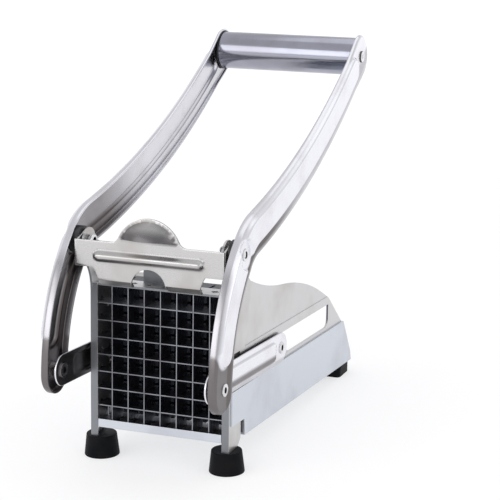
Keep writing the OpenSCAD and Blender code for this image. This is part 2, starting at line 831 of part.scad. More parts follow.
// Rod through arms, caps and tube, riveted over outside with hollow ends
module handle_rod() {
    end_x = arm_x - handle_shift + head_r * sin(arm_splay) + 3 * lap + seat;
    color(steel) difference() {
        union() {
            cross_bar(handle_at, rod_r, -end_x, end_x);
            for (right = [true, false]) on_side(right)
                cross_bar(handle_at, head_r, end_x - eps, end_x + head_t);
        }
        for (right = [true, false]) on_side(right) cross_bar(handle_at, rivet_bore, end_x - plug_l, far);
    }
}

// ---- Links ----

// Hollow rivet at the foot of an arm
module link_rivet() {
    color(steel) difference() {
        union() {
            cross_bar(link_pivot, link_pin_r, link_in - side_gap - eps, arm_x + lap + seat + eps);
            cross_bar(link_pivot, head_r, arm_x + lap + seat, arm_x + lap + seat + head_t);
            cross_bar(link_pivot, inner_head_r, tray_out - inner_head_sink, link_in - side_gap);
        }
        cross_bar(link_pivot, rivet_bore, 0, far);
    }
}

module link_rivet_right() { on_side(true) link_rivet(); }

module link_rivet_left() { on_side(false) link_rivet(); }

// Collar that keeps the link in line with the side plate
module link_collar() {
    color(steel) difference() {
        cross_bar(link_pivot, link_pin_r + collar_wall, link_out + side_gap, arm_in - lap - seat);
        cross_bar(link_pivot, link_pin_r, 0, far);
    }
}

module link_collar_right() { on_side(true) link_collar(); }

module link_collar_left() { on_side(false) link_collar(); }

// Outline along the link from its front eye at the origin to its rear eye
module link_outline(l, w) {
    stadium(0, l, 0, w / 2);
}

// Outline of the channel, grown all round by g, with corner radius r
module press_outline(l, g, r) {
    translate([(l + press_front - press_rear) / 2, 0])
        round_rect(l - press_front - press_rear + 2 * g, link_w * 0.62 + 2 * g, r);
}

// Flat link with a channel pressed out along its middle
module link() {
    run = axle_at - link_pivot;
    l = norm(run);
    tilt = atan2(run[1], run[0]);
    color(bright_steel) difference() {
        translate([0, link_pivot[0], link_pivot[1]]) rotate([tilt, 0, 0]) difference() {
            union() {
                side_sheet(link_in, link_t) link_outline(l, link_w);
                side_sheet(link_in, link_t + link_press) press_outline(l, 0, 3);
                side_sheet(link_in, link_t + link_press * 0.5) press_outline(l, 0.7, 3.7);
            }
            side_sheet(link_in - 1, 1 + link_press) press_outline(l, -link_t, 2);
        }
        cross_bar(link_pivot, link_pin_r + run_fit, 0, far);
        cross_bar(axle_at, link_pin_r, 0, far);
    }
}

module link_right() { on_side(true) link(); }

module link_left() { on_side(false) link(); }

// Hollow rivet at the rear eye, over the end of the pusher axle
module link_eye_rivet() {
    color(steel) difference() {
        union() {
            cross_bar(axle_at, link_pin_r, link_in, link_out + eps);
            cross_bar(axle_at, head_r, link_out, link_out + head_t);
        }
        cross_bar(axle_at, rivet_bore, 0, far);
    }
}

module link_eye_rivet_right() { on_side(true) link_eye_rivet(); }

module link_eye_rivet_left() { on_side(false) link_eye_rivet(); }

// ---- Pusher ----

// Block of square studs on one plate
module pusher_block() {
    low = grid_mid - pusher_half;
    color(navy_plastic) difference() {
        union() {
            translate([-pusher_half, block_y, low])
                cube([2 * pusher_half, stud_plate, 2 * pusher_half]);
            for (i = [0 : cells - 1], j = [0 : cells - 1])
                translate([i * cell - pusher_half, stud_y, j * cell + low])
                    cube([stud, stud_l + 0.5, stud]);
        }
        pusher_rivet_places() cylinder(r = rivet_shank_r, h = far, center = true);
    }
}

// The four rivets through the block, with Z along the trough
module pusher_rivet_places() {
    for (x = [-1, 1], z = [-1, 1])
        translate([x * cell * (cells / 2 - 2), 0, grid_mid + z * cell * (cells / 2 - 2)])
            rotate([-90, 0, 0]) children();
}

module pusher_rivets() {
    color(steel) pusher_rivet_places() {
        translate([0, 0, block_y]) cylinder(r = rivet_shank_r, h = stud_plate + carrier_t + eps);
        translate([0, 0, carrier_y + carrier_t]) cylinder(r = rivet_head_r, h = 1.2);
    }
}

// Backing plate with two cheeks that carry the axle
module pusher_carrier() {
    tail = axle_y + 8;
    color(steel) difference() {
        union() {
            translate([-cheek_x, carrier_y, grid_mid - pusher_half + 2])
                cube([2 * cheek_x, carrier_t, 2 * pusher_half - 4]);
            for (right = [true, false]) on_side(right) side_sheet(cheek_x - carrier_t, carrier_t)
                polygon([[carrier_y, grid_mid - pusher_half + 6], [carrier_y, grid_mid + pusher_half - 6],
                         [carrier_y + 8, grid_mid + pusher_half - 6], [tail, slot_z + 11],
                         [tail, slot_z - 11], [carrier_y + 14, grid_mid - pusher_half + 6]]);
        }
        cross_bar(axle_at, axle_r, -far, far);
        pusher_rivet_places() cylinder(r = rivet_shank_r, h = far, center = true);
    }
}

module pusher_axle() {
    color(steel) cross_bar(axle_at, axle_r, -(tray_out - 0.1), tray_out - 0.1);
}

// Nylon bush that runs in the slot
module slide_bush() {
    color(black_nylon) difference() {
        union() {
            cross_bar(axle_at, bush_r, plate_in - 0.4, plate_out + 0.4);
            cross_bar(axle_at, bush_r - 2, cheek_x, plate_in - 0.4 + eps);
        }
        cross_bar(axle_at, axle_r, 0, far);
    }
}

module slide_bush_right() { on_side(true) slide_bush(); }

module slide_bush_left() { on_side(false) slide_bush(); }

// ---- Blade cassette ----

// Diamond holes in the strip on one side of the cassette, drawn above the top strip
module strip_diamonds() {
    for (i = [1 : cells - 1])
        translate([i * cell - grid / 2, (cassette_y0 + cassette_y1) / 2, 0])
            cylinder(r = diamond / 2, h = far, $fn = 4);
}

// The strip frame, with its finger tab on the rear edge of the top strip
module cassette_frame() {
    color(steel) {
        difference() {
            translate([0, cassette_y1, grid_mid]) rotate([90, 0, 0]) linear_extrude(cassette_d)
                difference() {
                    round_rect(grid + 2 * strip_t, grid + 2 * strip_t, corner_r);
                    square(grid, center = true);
                }
            for (a = [0 : 90 : 270]) translate([0, 0, grid_mid]) rotate([0, a, 0]) strip_diamonds();
        }
        translate([0, cassette_y1, cassette_top - eps]) rotate([90, 0, 0]) linear_extrude(strip_t) {
            intersection() {
                translate([0, tab_h - tab_w / 2]) circle(tab_w / 2);
                translate([-far, tab_h - tab_w / 2]) square([2 * far, far]);
            }
            translate([-tab_w / 2, 0]) square([tab_w, tab_h - tab_w / 2]);
        }
    }
}

// One blade standing on its end at the middle of the grid, edge to the rear.
// Its half-laps open to the front or to the rear.
module blade(lap_rear) {
    mid = (cassette_y0 + cassette_y1) / 2;
    difference() {
        union() {
            translate([0, 0, -grid / 2]) linear_extrude(grid)
                polygon([[-blade_t / 2, cassette_y0], [blade_t / 2, cassette_y0],
                         [blade_t / 2, cassette_y1 - blade_bevel], [0, cassette_y1],
                         [-blade_t / 2, cassette_y1 - blade_bevel]]);
            translate([-blade_t / 2, mid - blade_tab / 2, -grid / 2 - strip_t])
                cube([blade_t, blade_tab, grid + 2 * strip_t]);
        }
        for (k = [1 : cells - 1])
            translate([-1, lap_rear ? mid : cassette_y0 - 1, k * cell - grid / 2 - blade_t / 2 - blade_fit])
                cube([2, cassette_d / 2 + 1, blade_t + 2 * blade_fit]);
    }
}

module vertical_blades() {
    color(grid_steel) for (i = [1 : cells - 1])
        translate([i * cell - grid / 2, 0, grid_mid]) blade(true);
}

module horizontal_blades() {
    color(grid_steel) for (i = [1 : cells - 1])
        translate([0, 0, grid_mid + i * cell - grid / 2]) rotate([0, 90, 0]) blade(false);
}

stance() base_tray();
stance() side_plate_right();
stance() side_plate_left();
stance() front_foot_right();
stance() front_foot_left();
stance() rear_foot_right();
stance() rear_foot_left();
stance() rear_foot_rivets();
stance() main_rivet_right();
stance() main_rivet_left();
stance() pivot_spacer_right();
stance() pivot_spacer_left();
stance() gate_spring_right();
stance() gate_spring_left();
stance() gate_plate();
stance() lever_arm_right();
stance() lever_arm_left();
stance() handle_tube();
stance() handle_cap_right();
stance() handle_cap_left();
stance() handle_rod();
stance() link_rivet_right();
stance() link_rivet_left();
stance() link_collar_right();
stance() link_collar_left();
stance() link_right();
stance() link_left();
stance() link_eye_rivet_right();
stance() link_eye_rivet_left();
stance() pusher_block();
stance() pusher_carrier();
stance() pusher_axle();
stance() slide_bush_right();
stance() slide_bush_left();
stance() pusher_rivets();
stance() cassette_frame();
stance() vertical_blades();
stance() horizontal_blades();
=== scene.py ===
import json
import math
import bmesh
import bpy
from mathutils import Matrix, Vector
from mathutils.geometry import delaunay_2d_cdt


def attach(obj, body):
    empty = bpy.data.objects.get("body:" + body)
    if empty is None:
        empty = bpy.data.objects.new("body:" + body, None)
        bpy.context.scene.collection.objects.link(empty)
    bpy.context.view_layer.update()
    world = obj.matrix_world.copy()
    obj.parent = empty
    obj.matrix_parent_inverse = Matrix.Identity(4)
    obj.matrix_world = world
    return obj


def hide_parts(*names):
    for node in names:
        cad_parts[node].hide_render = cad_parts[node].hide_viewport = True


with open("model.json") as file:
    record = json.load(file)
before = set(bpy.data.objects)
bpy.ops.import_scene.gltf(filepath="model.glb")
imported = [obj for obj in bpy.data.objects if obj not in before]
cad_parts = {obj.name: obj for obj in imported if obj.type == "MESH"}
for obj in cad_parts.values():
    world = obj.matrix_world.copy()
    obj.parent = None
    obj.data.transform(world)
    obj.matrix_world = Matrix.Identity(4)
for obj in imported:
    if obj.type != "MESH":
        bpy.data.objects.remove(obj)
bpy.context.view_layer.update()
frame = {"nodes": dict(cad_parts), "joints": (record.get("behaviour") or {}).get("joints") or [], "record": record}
print("frame loaded,", len(frame["nodes"]), "nodes")

# The body leans back on its feet. Sizes below are in millimetres on the upright body:
# X right, Y back from the front edge of the side plates, Z up from the front feet.
body = {"pivotY": -4.2, "pivotZ": 120.6, "slotZ": 53.9, "axleY": 67.0}
mm = 0.001  # one millimetre in the scene's metres
sides = ((1, "right"), (-1, "left"))
joints = {j["name"]: j for j in frame["joints"]}
liftAxis = joints["cassette_lift"]["axis"]
lean = math.atan2(liftAxis[1], liftAxis[2])
toRow = (Matrix.Translation(joints["lever_swing"]["pos_m"])
         @ Matrix.Rotation(-lean, 4, "X") @ Matrix.Scale(mm, 4)
         @ Matrix.Translation((0, -body["pivotY"], -body["pivotZ"])))
bodyOfNode = {n: b for b, names in frame["record"]["behaviour"]["bodies"].items() for n in names}
pivotYZ = Vector((body["pivotY"], body["pivotZ"]))
axleYZ = Vector((body["axleY"], body["slotZ"]))


def heading(degrees):
    a = math.radians(degrees)
    return Vector((math.cos(a), math.sin(a)))


def leftOf(degrees):
    return heading(degrees + 90)


def smooth(x):
    x = min(max(x, 0.0), 1.0)
    return x * x * (3 - 2 * x)


# Place and axes of the camera on the upright body, lens and sensor in millimetres
cameraLook = {"place": (397.75, -855.75, 311.19), "right": (0.92565, 0.37814, 0.01325),
              "up": (-0.08773, 0.18043, 0.97967), "lens": 131.67, "sensor": 36.0,
              "clipEnd": 20}


def makeCamera(look):
    data = bpy.data.cameras.new("camera")
    data.lens = look["lens"]
    data.sensor_width = look["sensor"]
    data.sensor_fit = "HORIZONTAL"
    data.clip_end = look["clipEnd"]
    camera = bpy.data.objects.new("camera", data)
    bpy.context.scene.collection.objects.link(camera)
    turn = toRow.to_3x3().normalized()
    right = (turn @ Vector(look["right"])).normalized()
    up = (turn @ Vector(look["up"])).normalized()
    back = right.cross(up).normalized()
    up = back.cross(right)
    axes = Matrix((right, up, back)).transposed().to_4x4()
    camera.matrix_world = Matrix.Translation(toRow @ Vector(look["place"])) @ axes
    bpy.context.scene.camera = camera


def newMaterial(name):
    material = bpy.data.materials.new(name)
    material.use_nodes = True
    tree = material.node_tree
    tree.nodes.clear()
    output = tree.nodes.new("ShaderNodeOutputMaterial")
    return material, tree, output


# Rays on which the pale paper shows: straight to the eye, in metal and through glass
def seenRays(tree):
    path = tree.nodes.new("ShaderNodeLightPath")
    total = path.outputs["Is Camera Ray"]
    for name in ("Is Glossy Ray", "Is Transmission Ray"):
        either = tree.nodes.new("ShaderNodeMath")
        either.operation = "MAXIMUM"
        tree.links.new(total, either.inputs[0])
        tree.links.new(path.outputs[name], either.inputs[1])
        total = either.outputs[0]
    return total


# The paper shines by itself, more further out, so that it ends in white
floorLook = {"colour": (0.46, 0.46, 0.465, 1), "near": 0.5, "liftNear": 0.58, "far": 2.6,
             "liftFar": 0.81, "radius": 6.0, "segments": 96}


def makeFloor(look):
    mesh = bpy.data.meshes.new("floor")
    bm = bmesh.new()
    bmesh.ops.create_circle(bm, cap_ends=True, segments=look["segments"], radius=look["radius"])
    bm.to_mesh(mesh)
    bm.free()
    floor = bpy.data.objects.new("floor", mesh)
    bpy.context.scene.collection.objects.link(floor)
    material, tree, output = newMaterial("floor_paper")
    paper = tree.nodes.new("ShaderNodeBsdfDiffuse")
    paper.inputs["Color"].default_value = look["colour"]
    lift = tree.nodes.new("ShaderNodeEmission")
    place = tree.nodes.new("ShaderNodeTexCoord")
    away = tree.nodes.new("ShaderNodeVectorMath")
    away.operation = "LENGTH"
    level = tree.nodes.new("ShaderNodeMapRange")
    for socket, key in (("From Min", "near"), ("From Max", "far"), ("To Min", "liftNear"),
                        ("To Max", "liftFar")):
        level.inputs[socket].default_value = look[key]
    link = tree.links.new
    link(place.outputs["Object"], away.inputs[0])
    link(away.outputs["Value"], level.inputs["Value"])
    link(level.outputs["Result"], lift.inputs["Strength"])
    both = tree.nodes.new("ShaderNodeAddShader")
    mix = tree.nodes.new("ShaderNodeMixShader")
    link(paper.outputs[0], both.inputs[0])
    link(lift.outputs[0], both.inputs[1])
    link(seenRays(tree), mix.inputs[0])
    link(paper.outputs[0], mix.inputs[1])
    link(both.outputs[0], mix.inputs[2])
    link(mix.outputs[0], output.inputs[0])
    mesh.materials.append(material)


# Studio round the object: brightness by height, as the metal mirrors it
worldLook = {"stops": [(0.0, 0.9), (0.5, 1.0), (0.62, 0.92), (0.8, 0.78), (1.0, 0.78)],
             "tint": (0.98, 0.983, 1.0, 1), "strength": 1.0}


def makeWorld(look):
    world = bpy.data.worlds.new("studio")
    world.use_nodes = True
    bpy.context.scene.world = world
    tree = world.node_tree
    tree.nodes.clear()
    output = tree.nodes.new("ShaderNodeOutputWorld")
    place = tree.nodes.new("ShaderNodeTexCoord")
    parts = tree.nodes.new("ShaderNodeSeparateXYZ")
    rise = tree.nodes.new("ShaderNodeMapRange")
    rise.inputs["From Min"].default_value = -1  # straight down, the start of the ramp
    rise.inputs["From Max"].default_value = 1
    ramp = tree.nodes.new("ShaderNodeValToRGB")
    ramp.color_ramp.interpolation = "EASE"
    while len(ramp.color_ramp.elements) < len(look["stops"]):
        ramp.color_ramp.elements.new(0.5)
    for element, (at, level) in zip(ramp.color_ramp.elements, look["stops"]):
        element.position = at
        element.color = [level * c for c in look["tint"][:3]] + [1]
    studio = tree.nodes.new("ShaderNodeBackground")
    studio.inputs["Strength"].default_value = look["strength"]
    link = tree.links.new
    link(place.outputs["Generated"], parts.inputs[0])
    link(parts.outputs["Z"], rise.inputs["Value"])
    link(rise.outputs["Result"], ramp.inputs["Fac"])
    link(ramp.outputs["Color"], studio.inputs["Color"])
    link(studio.outputs[0], output.inputs[0])


# Place, point it looks at, width, height in metres, and watts
lampLooks = {
    "key": ((-0.9, -1.6, 0.85), (0, 0, 0.12), 2.0, 1.1, 10),
    "fill": ((1.3, -0.5, 1.1), (0, 0, 0.1), 1.0, 1.0, 2),
    "top": ((0.1, 0.6, 1.6), (0, 0, 0.05), 1.4, 1.4, 3),
}


def makeLamps(looks):
    for name, (place, target, width, height, watts) in looks.items():
        data = bpy.data.lights.new(name, "AREA")
        data.shape = "RECTANGLE"
        data.size = width
        data.size_y = height
        data.energy = watts
        lamp = bpy.data.objects.new(name, data)
        bpy.context.scene.collection.objects.link(lamp)
        lamp.location = place
        lamp.rotation_euler = (Vector(target) - Vector(place)).to_track_quat("-Z", "Y").to_euler()


bpy.context.scene.view_settings.view_transform = "Standard"
makeCamera(cameraLook)
makeFloor(floorLook)
makeWorld(worldLook)
makeLamps(lampLooks)
print("camera, floor and light made")


def newGroup(name, inputs, outputs):
    group = bpy.data.node_groups.new(name, "ShaderNodeTree")
    for socketName, kind, value in inputs:
        socket = group.interface.new_socket(socketName, in_out="INPUT", socket_type=kind)
        socket.default_value = value
    for socketName, kind in outputs:
        group.interface.new_socket(socketName, in_out="OUTPUT", socket_type=kind)
    return group, group.nodes.new("NodeGroupInput"), group.nodes.new("NodeGroupOutput")


def mapped(tree, value, low, high):
    node = tree.nodes.new("ShaderNodeMapRange")
    node.inputs["To Min"].default_value = low
    node.inputs["To Max"].default_value = high
    tree.links.new(value, node.inputs["Value"])
    return node.outputs["Result"]


def mixed(tree, mask, first, second):
    node = tree.nodes.new("ShaderNodeMix")
    node.data_type = "RGBA"
    node.inputs[6].default_value = first
    node.inputs[7].default_value = second
    tree.links.new(mask, node.inputs[0])
    return node.outputs[2]


def added(tree, first, second):
    node = tree.nodes.new("ShaderNodeMath")
    node.operation = "ADD"
    tree.links.new(first, node.inputs[0])
    tree.links.new(second, node.inputs[1])
    return node.outputs[0]


grainLook = {"depth": 0.2, "detail": 5, "roughness": 0.62, "height": 0.05}
handlingLook = {"size": 60, "low": 0.42, "high": 0.72, "detail": 3}


# Fine parallel lines left by the polishing belt, long along the axis of low fineness
def grainGroup(look):
    group, given, result = newGroup(
        "beltGrain",
        [("Place", "NodeSocketVector", (0, 0, 0)), ("Fineness", "NodeSocketVector", (1, 1, 1)),
         ("Depth", "NodeSocketFloat", look["depth"])],
        [("Lines", "NodeSocketFloat"), ("Normal", "NodeSocketVector")])
    stretch = group.nodes.new("ShaderNodeVectorMath")
    stretch.operation = "MULTIPLY"
    lines = group.nodes.new("ShaderNodeTexNoise")
    lines.inputs["Scale"].default_value = 1
    lines.inputs["Detail"].default_value = look["detail"]
    lines.inputs["Roughness"].default_value = look["roughness"]
    bump = group.nodes.new("ShaderNodeBump")
    bump.inputs["Distance"].default_value = look["height"] * mm
    link = group.links.new
    link(given.outputs["Place"], stretch.inputs[0])
    link(given.outputs["Fineness"], stretch.inputs[1])
    link(stretch.outputs[0], lines.inputs["Vector"])
    link(lines.outputs["Fac"], bump.inputs["Height"])
    link(given.outputs["Depth"], bump.inputs["Strength"])
    link(lines.outputs["Fac"], result.inputs["Lines"])
    link(bump.outputs["Normal"], result.inputs["Normal"])
    return group


# Soft patches of handling: 0 clean, 1 touched
def smudgeGroup(look):
    group, given, result = newGroup(
        "handling",
        [("Place", "NodeSocketVector", (0, 0, 0)), ("Size", "NodeSocketFloat", look["size"]),
         ("Low", "NodeSocketFloat", look["low"]), ("High", "NodeSocketFloat", look["high"])],
        [("Mask", "NodeSocketFloat")])
    patches = group.nodes.new("ShaderNodeTexNoise")
    patches.inputs["Detail"].default_value = look["detail"]
    spread = group.nodes.new("ShaderNodeMapRange")
    spread.interpolation_type = "SMOOTHSTEP"
    link = group.links.new
    link(given.outputs["Place"], patches.inputs["Vector"])
    link(given.outputs["Size"], patches.inputs["Scale"])
    link(given.outputs["Low"], spread.inputs["From Min"])
    link(given.outputs["High"], spread.inputs["From Max"])
    link(patches.outputs["Fac"], spread.inputs["Value"])
    link(spread.outputs["Result"], result.inputs["Mask"])
    return group


# Painted shade and dark reflection: mask 0 keeps the metal's own colour, 1 darkens it to the painted shade colour
# and adds roughness
def shadePainterGroup():
    group, given, result = newGroup(
        "shadePainter",
        [("Mask", "NodeSocketFloat", 0), ("Colour", "NodeSocketColor", (1, 1, 1, 1)),
         ("Backing", "NodeSocketColor", (0, 0, 0, 1)), ("Rough", "NodeSocketFloat", 0),
         ("Extra", "NodeSocketFloat", 0)],
        [("Colour", "NodeSocketColor"), ("Rough", "NodeSocketFloat")])
    towards = group.nodes.new("ShaderNodeMix")
    towards.data_type = "RGBA"
    spread = group.nodes.new("ShaderNodeMapRange")
    link = group.links.new
    link(given.outputs["Mask"], towards.inputs[0])
    link(given.outputs["Colour"], towards.inputs[6])
    link(given.outputs["Backing"], towards.inputs[7])
    link(given.outputs["Mask"], spread.inputs["Value"])
    link(given.outputs["Extra"], spread.inputs["To Max"])
    link(towards.outputs[2], result.inputs["Colour"])
    link(added(group, given.outputs["Rough"], spread.outputs["Result"]), result.inputs["Rough"])
    return group


groups = {"grain": grainGroup(grainLook), "smudge": smudgeGroup(handlingLook),
          "shadePainter": shadePainterGroup()}


def attributeNode(tree, name):
    node = tree.nodes.new("ShaderNodeAttribute")
    node.attribute_name = name
    return node


def placeNode(tree, source):
    # "lay" runs along a bent strip or round a turned piece, "object" is the piece's own space
    if source == "lay":
        return attributeNode(tree, "lay").outputs["Vector"]
    return tree.nodes.new("ShaderNodeTexCoord").outputs["Object"]


# A group with some inputs fed by other nodes and the rest set to values
def useGroup(tree, name, fed, **values):
    node = tree.nodes.new("ShaderNodeGroup")
    node.node_tree = groups[name]
    for key, source in fed.items():
        tree.links.new(source, node.inputs[key])
    for key, value in values.items():
        node.inputs[key].default_value = value
    return node


# Material with grain in its normal, and what else follows the grain and the handling
def grainedMaterial(name, source, fineness, depth, size):
    material, tree, output = newMaterial(name)
    place = placeNode(tree, source)
    grain = useGroup(tree, "grain", {"Place": place}, Fineness=fineness, Depth=depth)
    smudge = useGroup(tree, "smudge", {"Place": place}, Size=size)
    shader = tree.nodes.new("ShaderNodeBsdfPrincipled")
    tree.links.new(grain.outputs["Normal"], shader.inputs["Normal"])
    tree.links.new(shader.outputs[0], output.inputs[0])
    return material, tree, shader, grain.outputs["Lines"], smudge.outputs["Mask"]


# Grain lines per metre along each axis, polished and duller colour, range of roughness,
# handling marks per metre and the roughness they add, "brush" for the anisotropy, and
# the colour of the painted shade and dark reflections, with the roughness added there
steelLooks = {
    "polished_steel": {"place": "lay", "fineness": (14, 900, 900), "depth": 0.10,
                       "colour": (0.85, 0.85, 0.90, 1), "dullAndShade": (0.77, 0.765, 0.80, 1),
                       "rough": (0.16, 0.27), "smudge": 45, "smudgeRough": 0.08, "brush": 0.35,
                       "inside": (0.105, 0.09, 0.088, 1), "insideRough": 0.08},
    "satin_steel": {"place": "object", "fineness": (1500, 1500, 25), "depth": 0.25,
                    "colour": (0.65, 0.68, 0.735, 1), "dullAndShade": (0.59, 0.61, 0.66, 1),
                    "rough": (0.28, 0.42), "smudge": 38, "smudgeRough": 0.06, "brush": 0.5},
    "plate_steel": {"place": "object", "fineness": (1500, 1500, 25), "depth": 0.3,
                    "colour": (0.64, 0.635, 0.64, 1), "dullAndShade": (0.56, 0.54, 0.52, 1),
                    "rough": (0.28, 0.42), "smudge": 30, "smudgeRough": 0.08, "brush": 0.5,
                    "inside": (0.13, 0.145, 0.17, 1), "insideRough": 0.05},
    "gate_steel": {"place": "object", "fineness": (60, 1500, 1500), "depth": 0.2,
                   "colour": (0.56, 0.55, 0.545, 1), "dullAndShade": (0.46, 0.44, 0.42, 1),
                   "rough": (0.2, 0.34), "smudge": 34, "smudgeRough": 0.08, "brush": 0.3,
                   "inside": (0.09, 0.085, 0.09, 1), "insideRough": 0.0},
    "brushed_tube": {"place": "lay", "fineness": (1400, 20, 20), "depth": 0.18,
                     "colour": (0.385, 0.39, 0.455, 1), "dullAndShade": (0.33, 0.33, 0.38, 1),
                     "rough": (0.12, 0.2), "smudge": 40, "smudgeRough": 0.05, "brush": 0.3},
    "rivet_steel": {"place": "object", "fineness": (900, 900, 900), "depth": 0.08,
                    "colour": (0.78, 0.78, 0.80, 1), "dullAndShade": (0.55, 0.54, 0.55, 1),
                    "rough": (0.14, 0.26), "smudge": 260, "smudgeRough": 0.12, "brush": 0,
                    "inside": (0.015, 0.015, 0.017, 1), "insideRough": 0.3},
    "blade_steel": {"place": "object", "fineness": (40, 1400, 40), "depth": 0.2,
                    "colour": (0.30, 0.31, 0.34, 1), "dullAndShade": (0.20, 0.20, 0.22, 1),
                    "rough": (0.2, 0.36), "smudge": 80, "smudgeRough": 0.1, "brush": 0},
    "spring_steel": {"place": "object", "fineness": (700, 700, 700), "depth": 0.1,
                     "colour": (0.5, 0.5, 0.52, 1), "dullAndShade": (0.35, 0.34, 0.35, 1),
                     "rough": (0.22, 0.34), "smudge": 300, "smudgeRough": 0.1, "brush": 0},
}


def steelFinish(name, look):
    material, tree, shader, lines, touched = grainedMaterial(
        name, look["place"], look["fineness"], look["depth"], look["smudge"])
    shader.inputs["Metallic"].default_value = 1
    shader.inputs["Anisotropic"].default_value = look["brush"]
    rough = added(tree, mapped(tree, lines, *look["rough"]),
                  mapped(tree, touched, 0, look["smudgeRough"]))
    colour = mixed(tree, touched, look["colour"], look["dullAndShade"])
    # Painted shade: a point attribute darkens the colour towards the shade colour
    if "inside" in look:
        fed = {"Mask": attributeNode(tree, "inside").outputs["Fac"], "Colour": colour,
               "Rough": rough}
        withShade = useGroup(tree, "shadePainter", fed, Backing=look["inside"],
                          Extra=look["insideRough"])
        colour, rough = withShade.outputs["Colour"], withShade.outputs["Rough"]
    tree.links.new(colour, shader.inputs["Base Color"])
    tree.links.new(rough, shader.inputs["Roughness"])
    return material


softLooks = {
    "black_nylon": {"colour": (0.018, 0.018, 0.02, 1), "pale": (0.05, 0.05, 0.055, 1),
                    "rough": (0.3, 0.48), "size": 120, "grain": 700, "depth": 0.2,
                    "specular": 0.3},
    "navy_plastic": {"colour": (0.020, 0.023, 0.036, 1), "pale": (0.045, 0.050, 0.070, 1),
                     "rough": (0.28, 0.45), "size": 90, "grain": 900, "depth": 0.25,
                     "specular": 0.3},
    "black_rubber": {"colour": (0.003, 0.004, 0.006, 1), "pale": (0.009, 0.009, 0.010, 1),
                     "rough": (0.42, 0.6), "size": 70, "grain": 1300, "depth": 0.6,
                     "specular": 0.08},
}


def softFinish(name, look):
    material, tree, shader, lines, touched = grainedMaterial(
        name, "object", (look["grain"],) * 3, look["depth"], look["size"])
    shader.inputs["Specular IOR Level"].default_value = look["specular"]
    colour = mixed(tree, touched, look["colour"], look["pale"])
    tree.links.new(colour, shader.inputs["Base Color"])
    tree.links.new(mapped(tree, lines, *look["rough"]), shader.inputs["Roughness"])
    return material


finishes = {name: steelFinish(name, look) for name, look in steelLooks.items()}
finishes.update({name: softFinish(name, look) for name, look in softLooks.items()})
# Finishes that have no material slot of their own
slotOfFinish = {"brushed_tube": "polished_steel", "plate_steel": "satin_steel",
                "gate_steel": "satin_steel"}
print(len(finishes), "finishes made")


# Makes a mesh a piece of the model: leans it back with the body, unless it is "inRow"
# already, and gives it finish, sharp edges, body and CAD nodes
def settle(name, mesh, finish, nodes, sharp=30, inRow=False):
    piece = bpy.data.objects.new(name, mesh)
    bpy.context.scene.collection.objects.link(piece)
    if not inRow:
        mesh.transform(toRow)
    mesh.materials.clear()
    mesh.materials.append(finishes[finish])
    for polygon in mesh.polygons:
        polygon.use_smooth = True
    mesh.set_sharp_from_angle(angle=math.radians(sharp))
    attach(piece, bodyOfNode[nodes[0]])
    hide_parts(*nodes)
    slotOfFinish.get(finish, finish)
    return piece


def easeCorners(piece, width, angle, harden=False):
    bevel = piece.modifiers.new("corners", "BEVEL")
    bevel.width = width * mm
    bevel.segments = 2
    bevel.limit_method = "ANGLE"
    bevel.angle_limit = math.radians(angle)
    bevel.harden_normals = harden


def tidyMesh(mesh, near):
    bm = bmesh.new()
    bm.from_mesh(mesh)
    bmesh.ops.remove_doubles(bm, verts=bm.verts, dist=near)
    bmesh.ops.dissolve_degenerate(bm, dist=near, edges=bm.edges)
    bmesh.ops.recalc_face_normals(bm, faces=bm.faces)
    bm.to_mesh(mesh)
    bm.free()


# "lay" is the place along, across and through a strip, and the other attribute how much painted shade darkens a
# point, from 0 to 1
def meshFrom(name, verts, faces, lay=None, inside=None, near=0.0005):
    mesh = bpy.data.meshes.new(name)
    mesh.from_pydata(verts, [], faces)
    if inside:
        mesh.attributes.new("inside", "FLOAT", "POINT").data.foreach_set("value", inside)
    if lay:
        flat = [c for v in lay for c in v]
        mesh.attributes.new("lay", "FLOAT_VECTOR", "POINT").data.foreach_set("vector", flat)
    tidyMesh(mesh, near)
    return mesh


cornerCut = 0.3  # how far a small round is cut back half way, as a share of its radius


def mirrored(points, side):
    return [(p[0] * side, p[1], p[2]) for p in points]


# A section of (y, z) points drawn out from x0 to x1, evenly darkened with painted shade when a value is given
def slabMesh(name, section, x0, x1, side, dullAndShade=None):
    n = len(section)
    verts = [(x, y, z) for x in (x0, x1) for y, z in section]
    faces = [tuple(range(n)), tuple(range(2 * n - 1, n - 1, -1))]
    faces += [(k, (k + 1) % n, n + (k + 1) % n, n + k) for k in range(n)]
    inside = [dullAndShade] * len(verts) if dullAndShade else None
    return meshFrom(name, mirrored(verts, side), faces, inside=inside)


# Faces between rows of points that close into loops
def loopFaces(rows, count, closed=False):
    faces = []
    for i in range(rows if closed else rows - 1):
        j = (i + 1) % rows
        for k in range(count):
            n = (k + 1) % count
            faces.append((i * count + k, i * count + n, j * count + n, j * count + k))
    return faces


# Turns a profile of (x, radius) points round an axis along X
def turned(name, profile, centre, side=1, closed=False, steps=64, shade=lambda x, r: 0):
    verts, lay, inside = [], [], []
    for x, r in profile:
        inside += [float(shade(x, r))] * steps
        for k in range(steps):
            a = 2 * math.pi * k / steps
            verts.append((x * side, centre[0] + r * math.cos(a), centre[1] + r * math.sin(a)))
            lay.append((mm * r * a, mm * x, mm * r))
    return meshFrom(name, verts, loopFaces(len(profile), steps, closed), lay, inside)


# Points of an arc from one heading to another, in degrees
def arcPoints(cx, cy, radius, a0, a1, steps=6):
    return [(cx + radius * math.cos(math.radians(a0 + (a1 - a0) * i / steps)),
             cy + radius * math.sin(math.radians(a0 + (a1 - a0) * i / steps)))
            for i in range(steps + 1)]


# Middle line of a strip from bends of (radius, turn to the right, steps)
def bentLine(start, startHeading, bends):
    points = [(Vector(start), startHeading, 0.0)]
    for radius, turn, steps in bends:
        p0, h0, s0 = points[-1]
        toRight = 1 if turn > 0 else -1
        centre = p0 - leftOf(h0) * radius * toRight
        for i in range(1, steps + 1):
            h = h0 - turn * i / steps
            points.append((centre + leftOf(h) * radius * toRight, h,
                           s0 + math.radians(abs(turn)) * radius * i / steps))
    return points


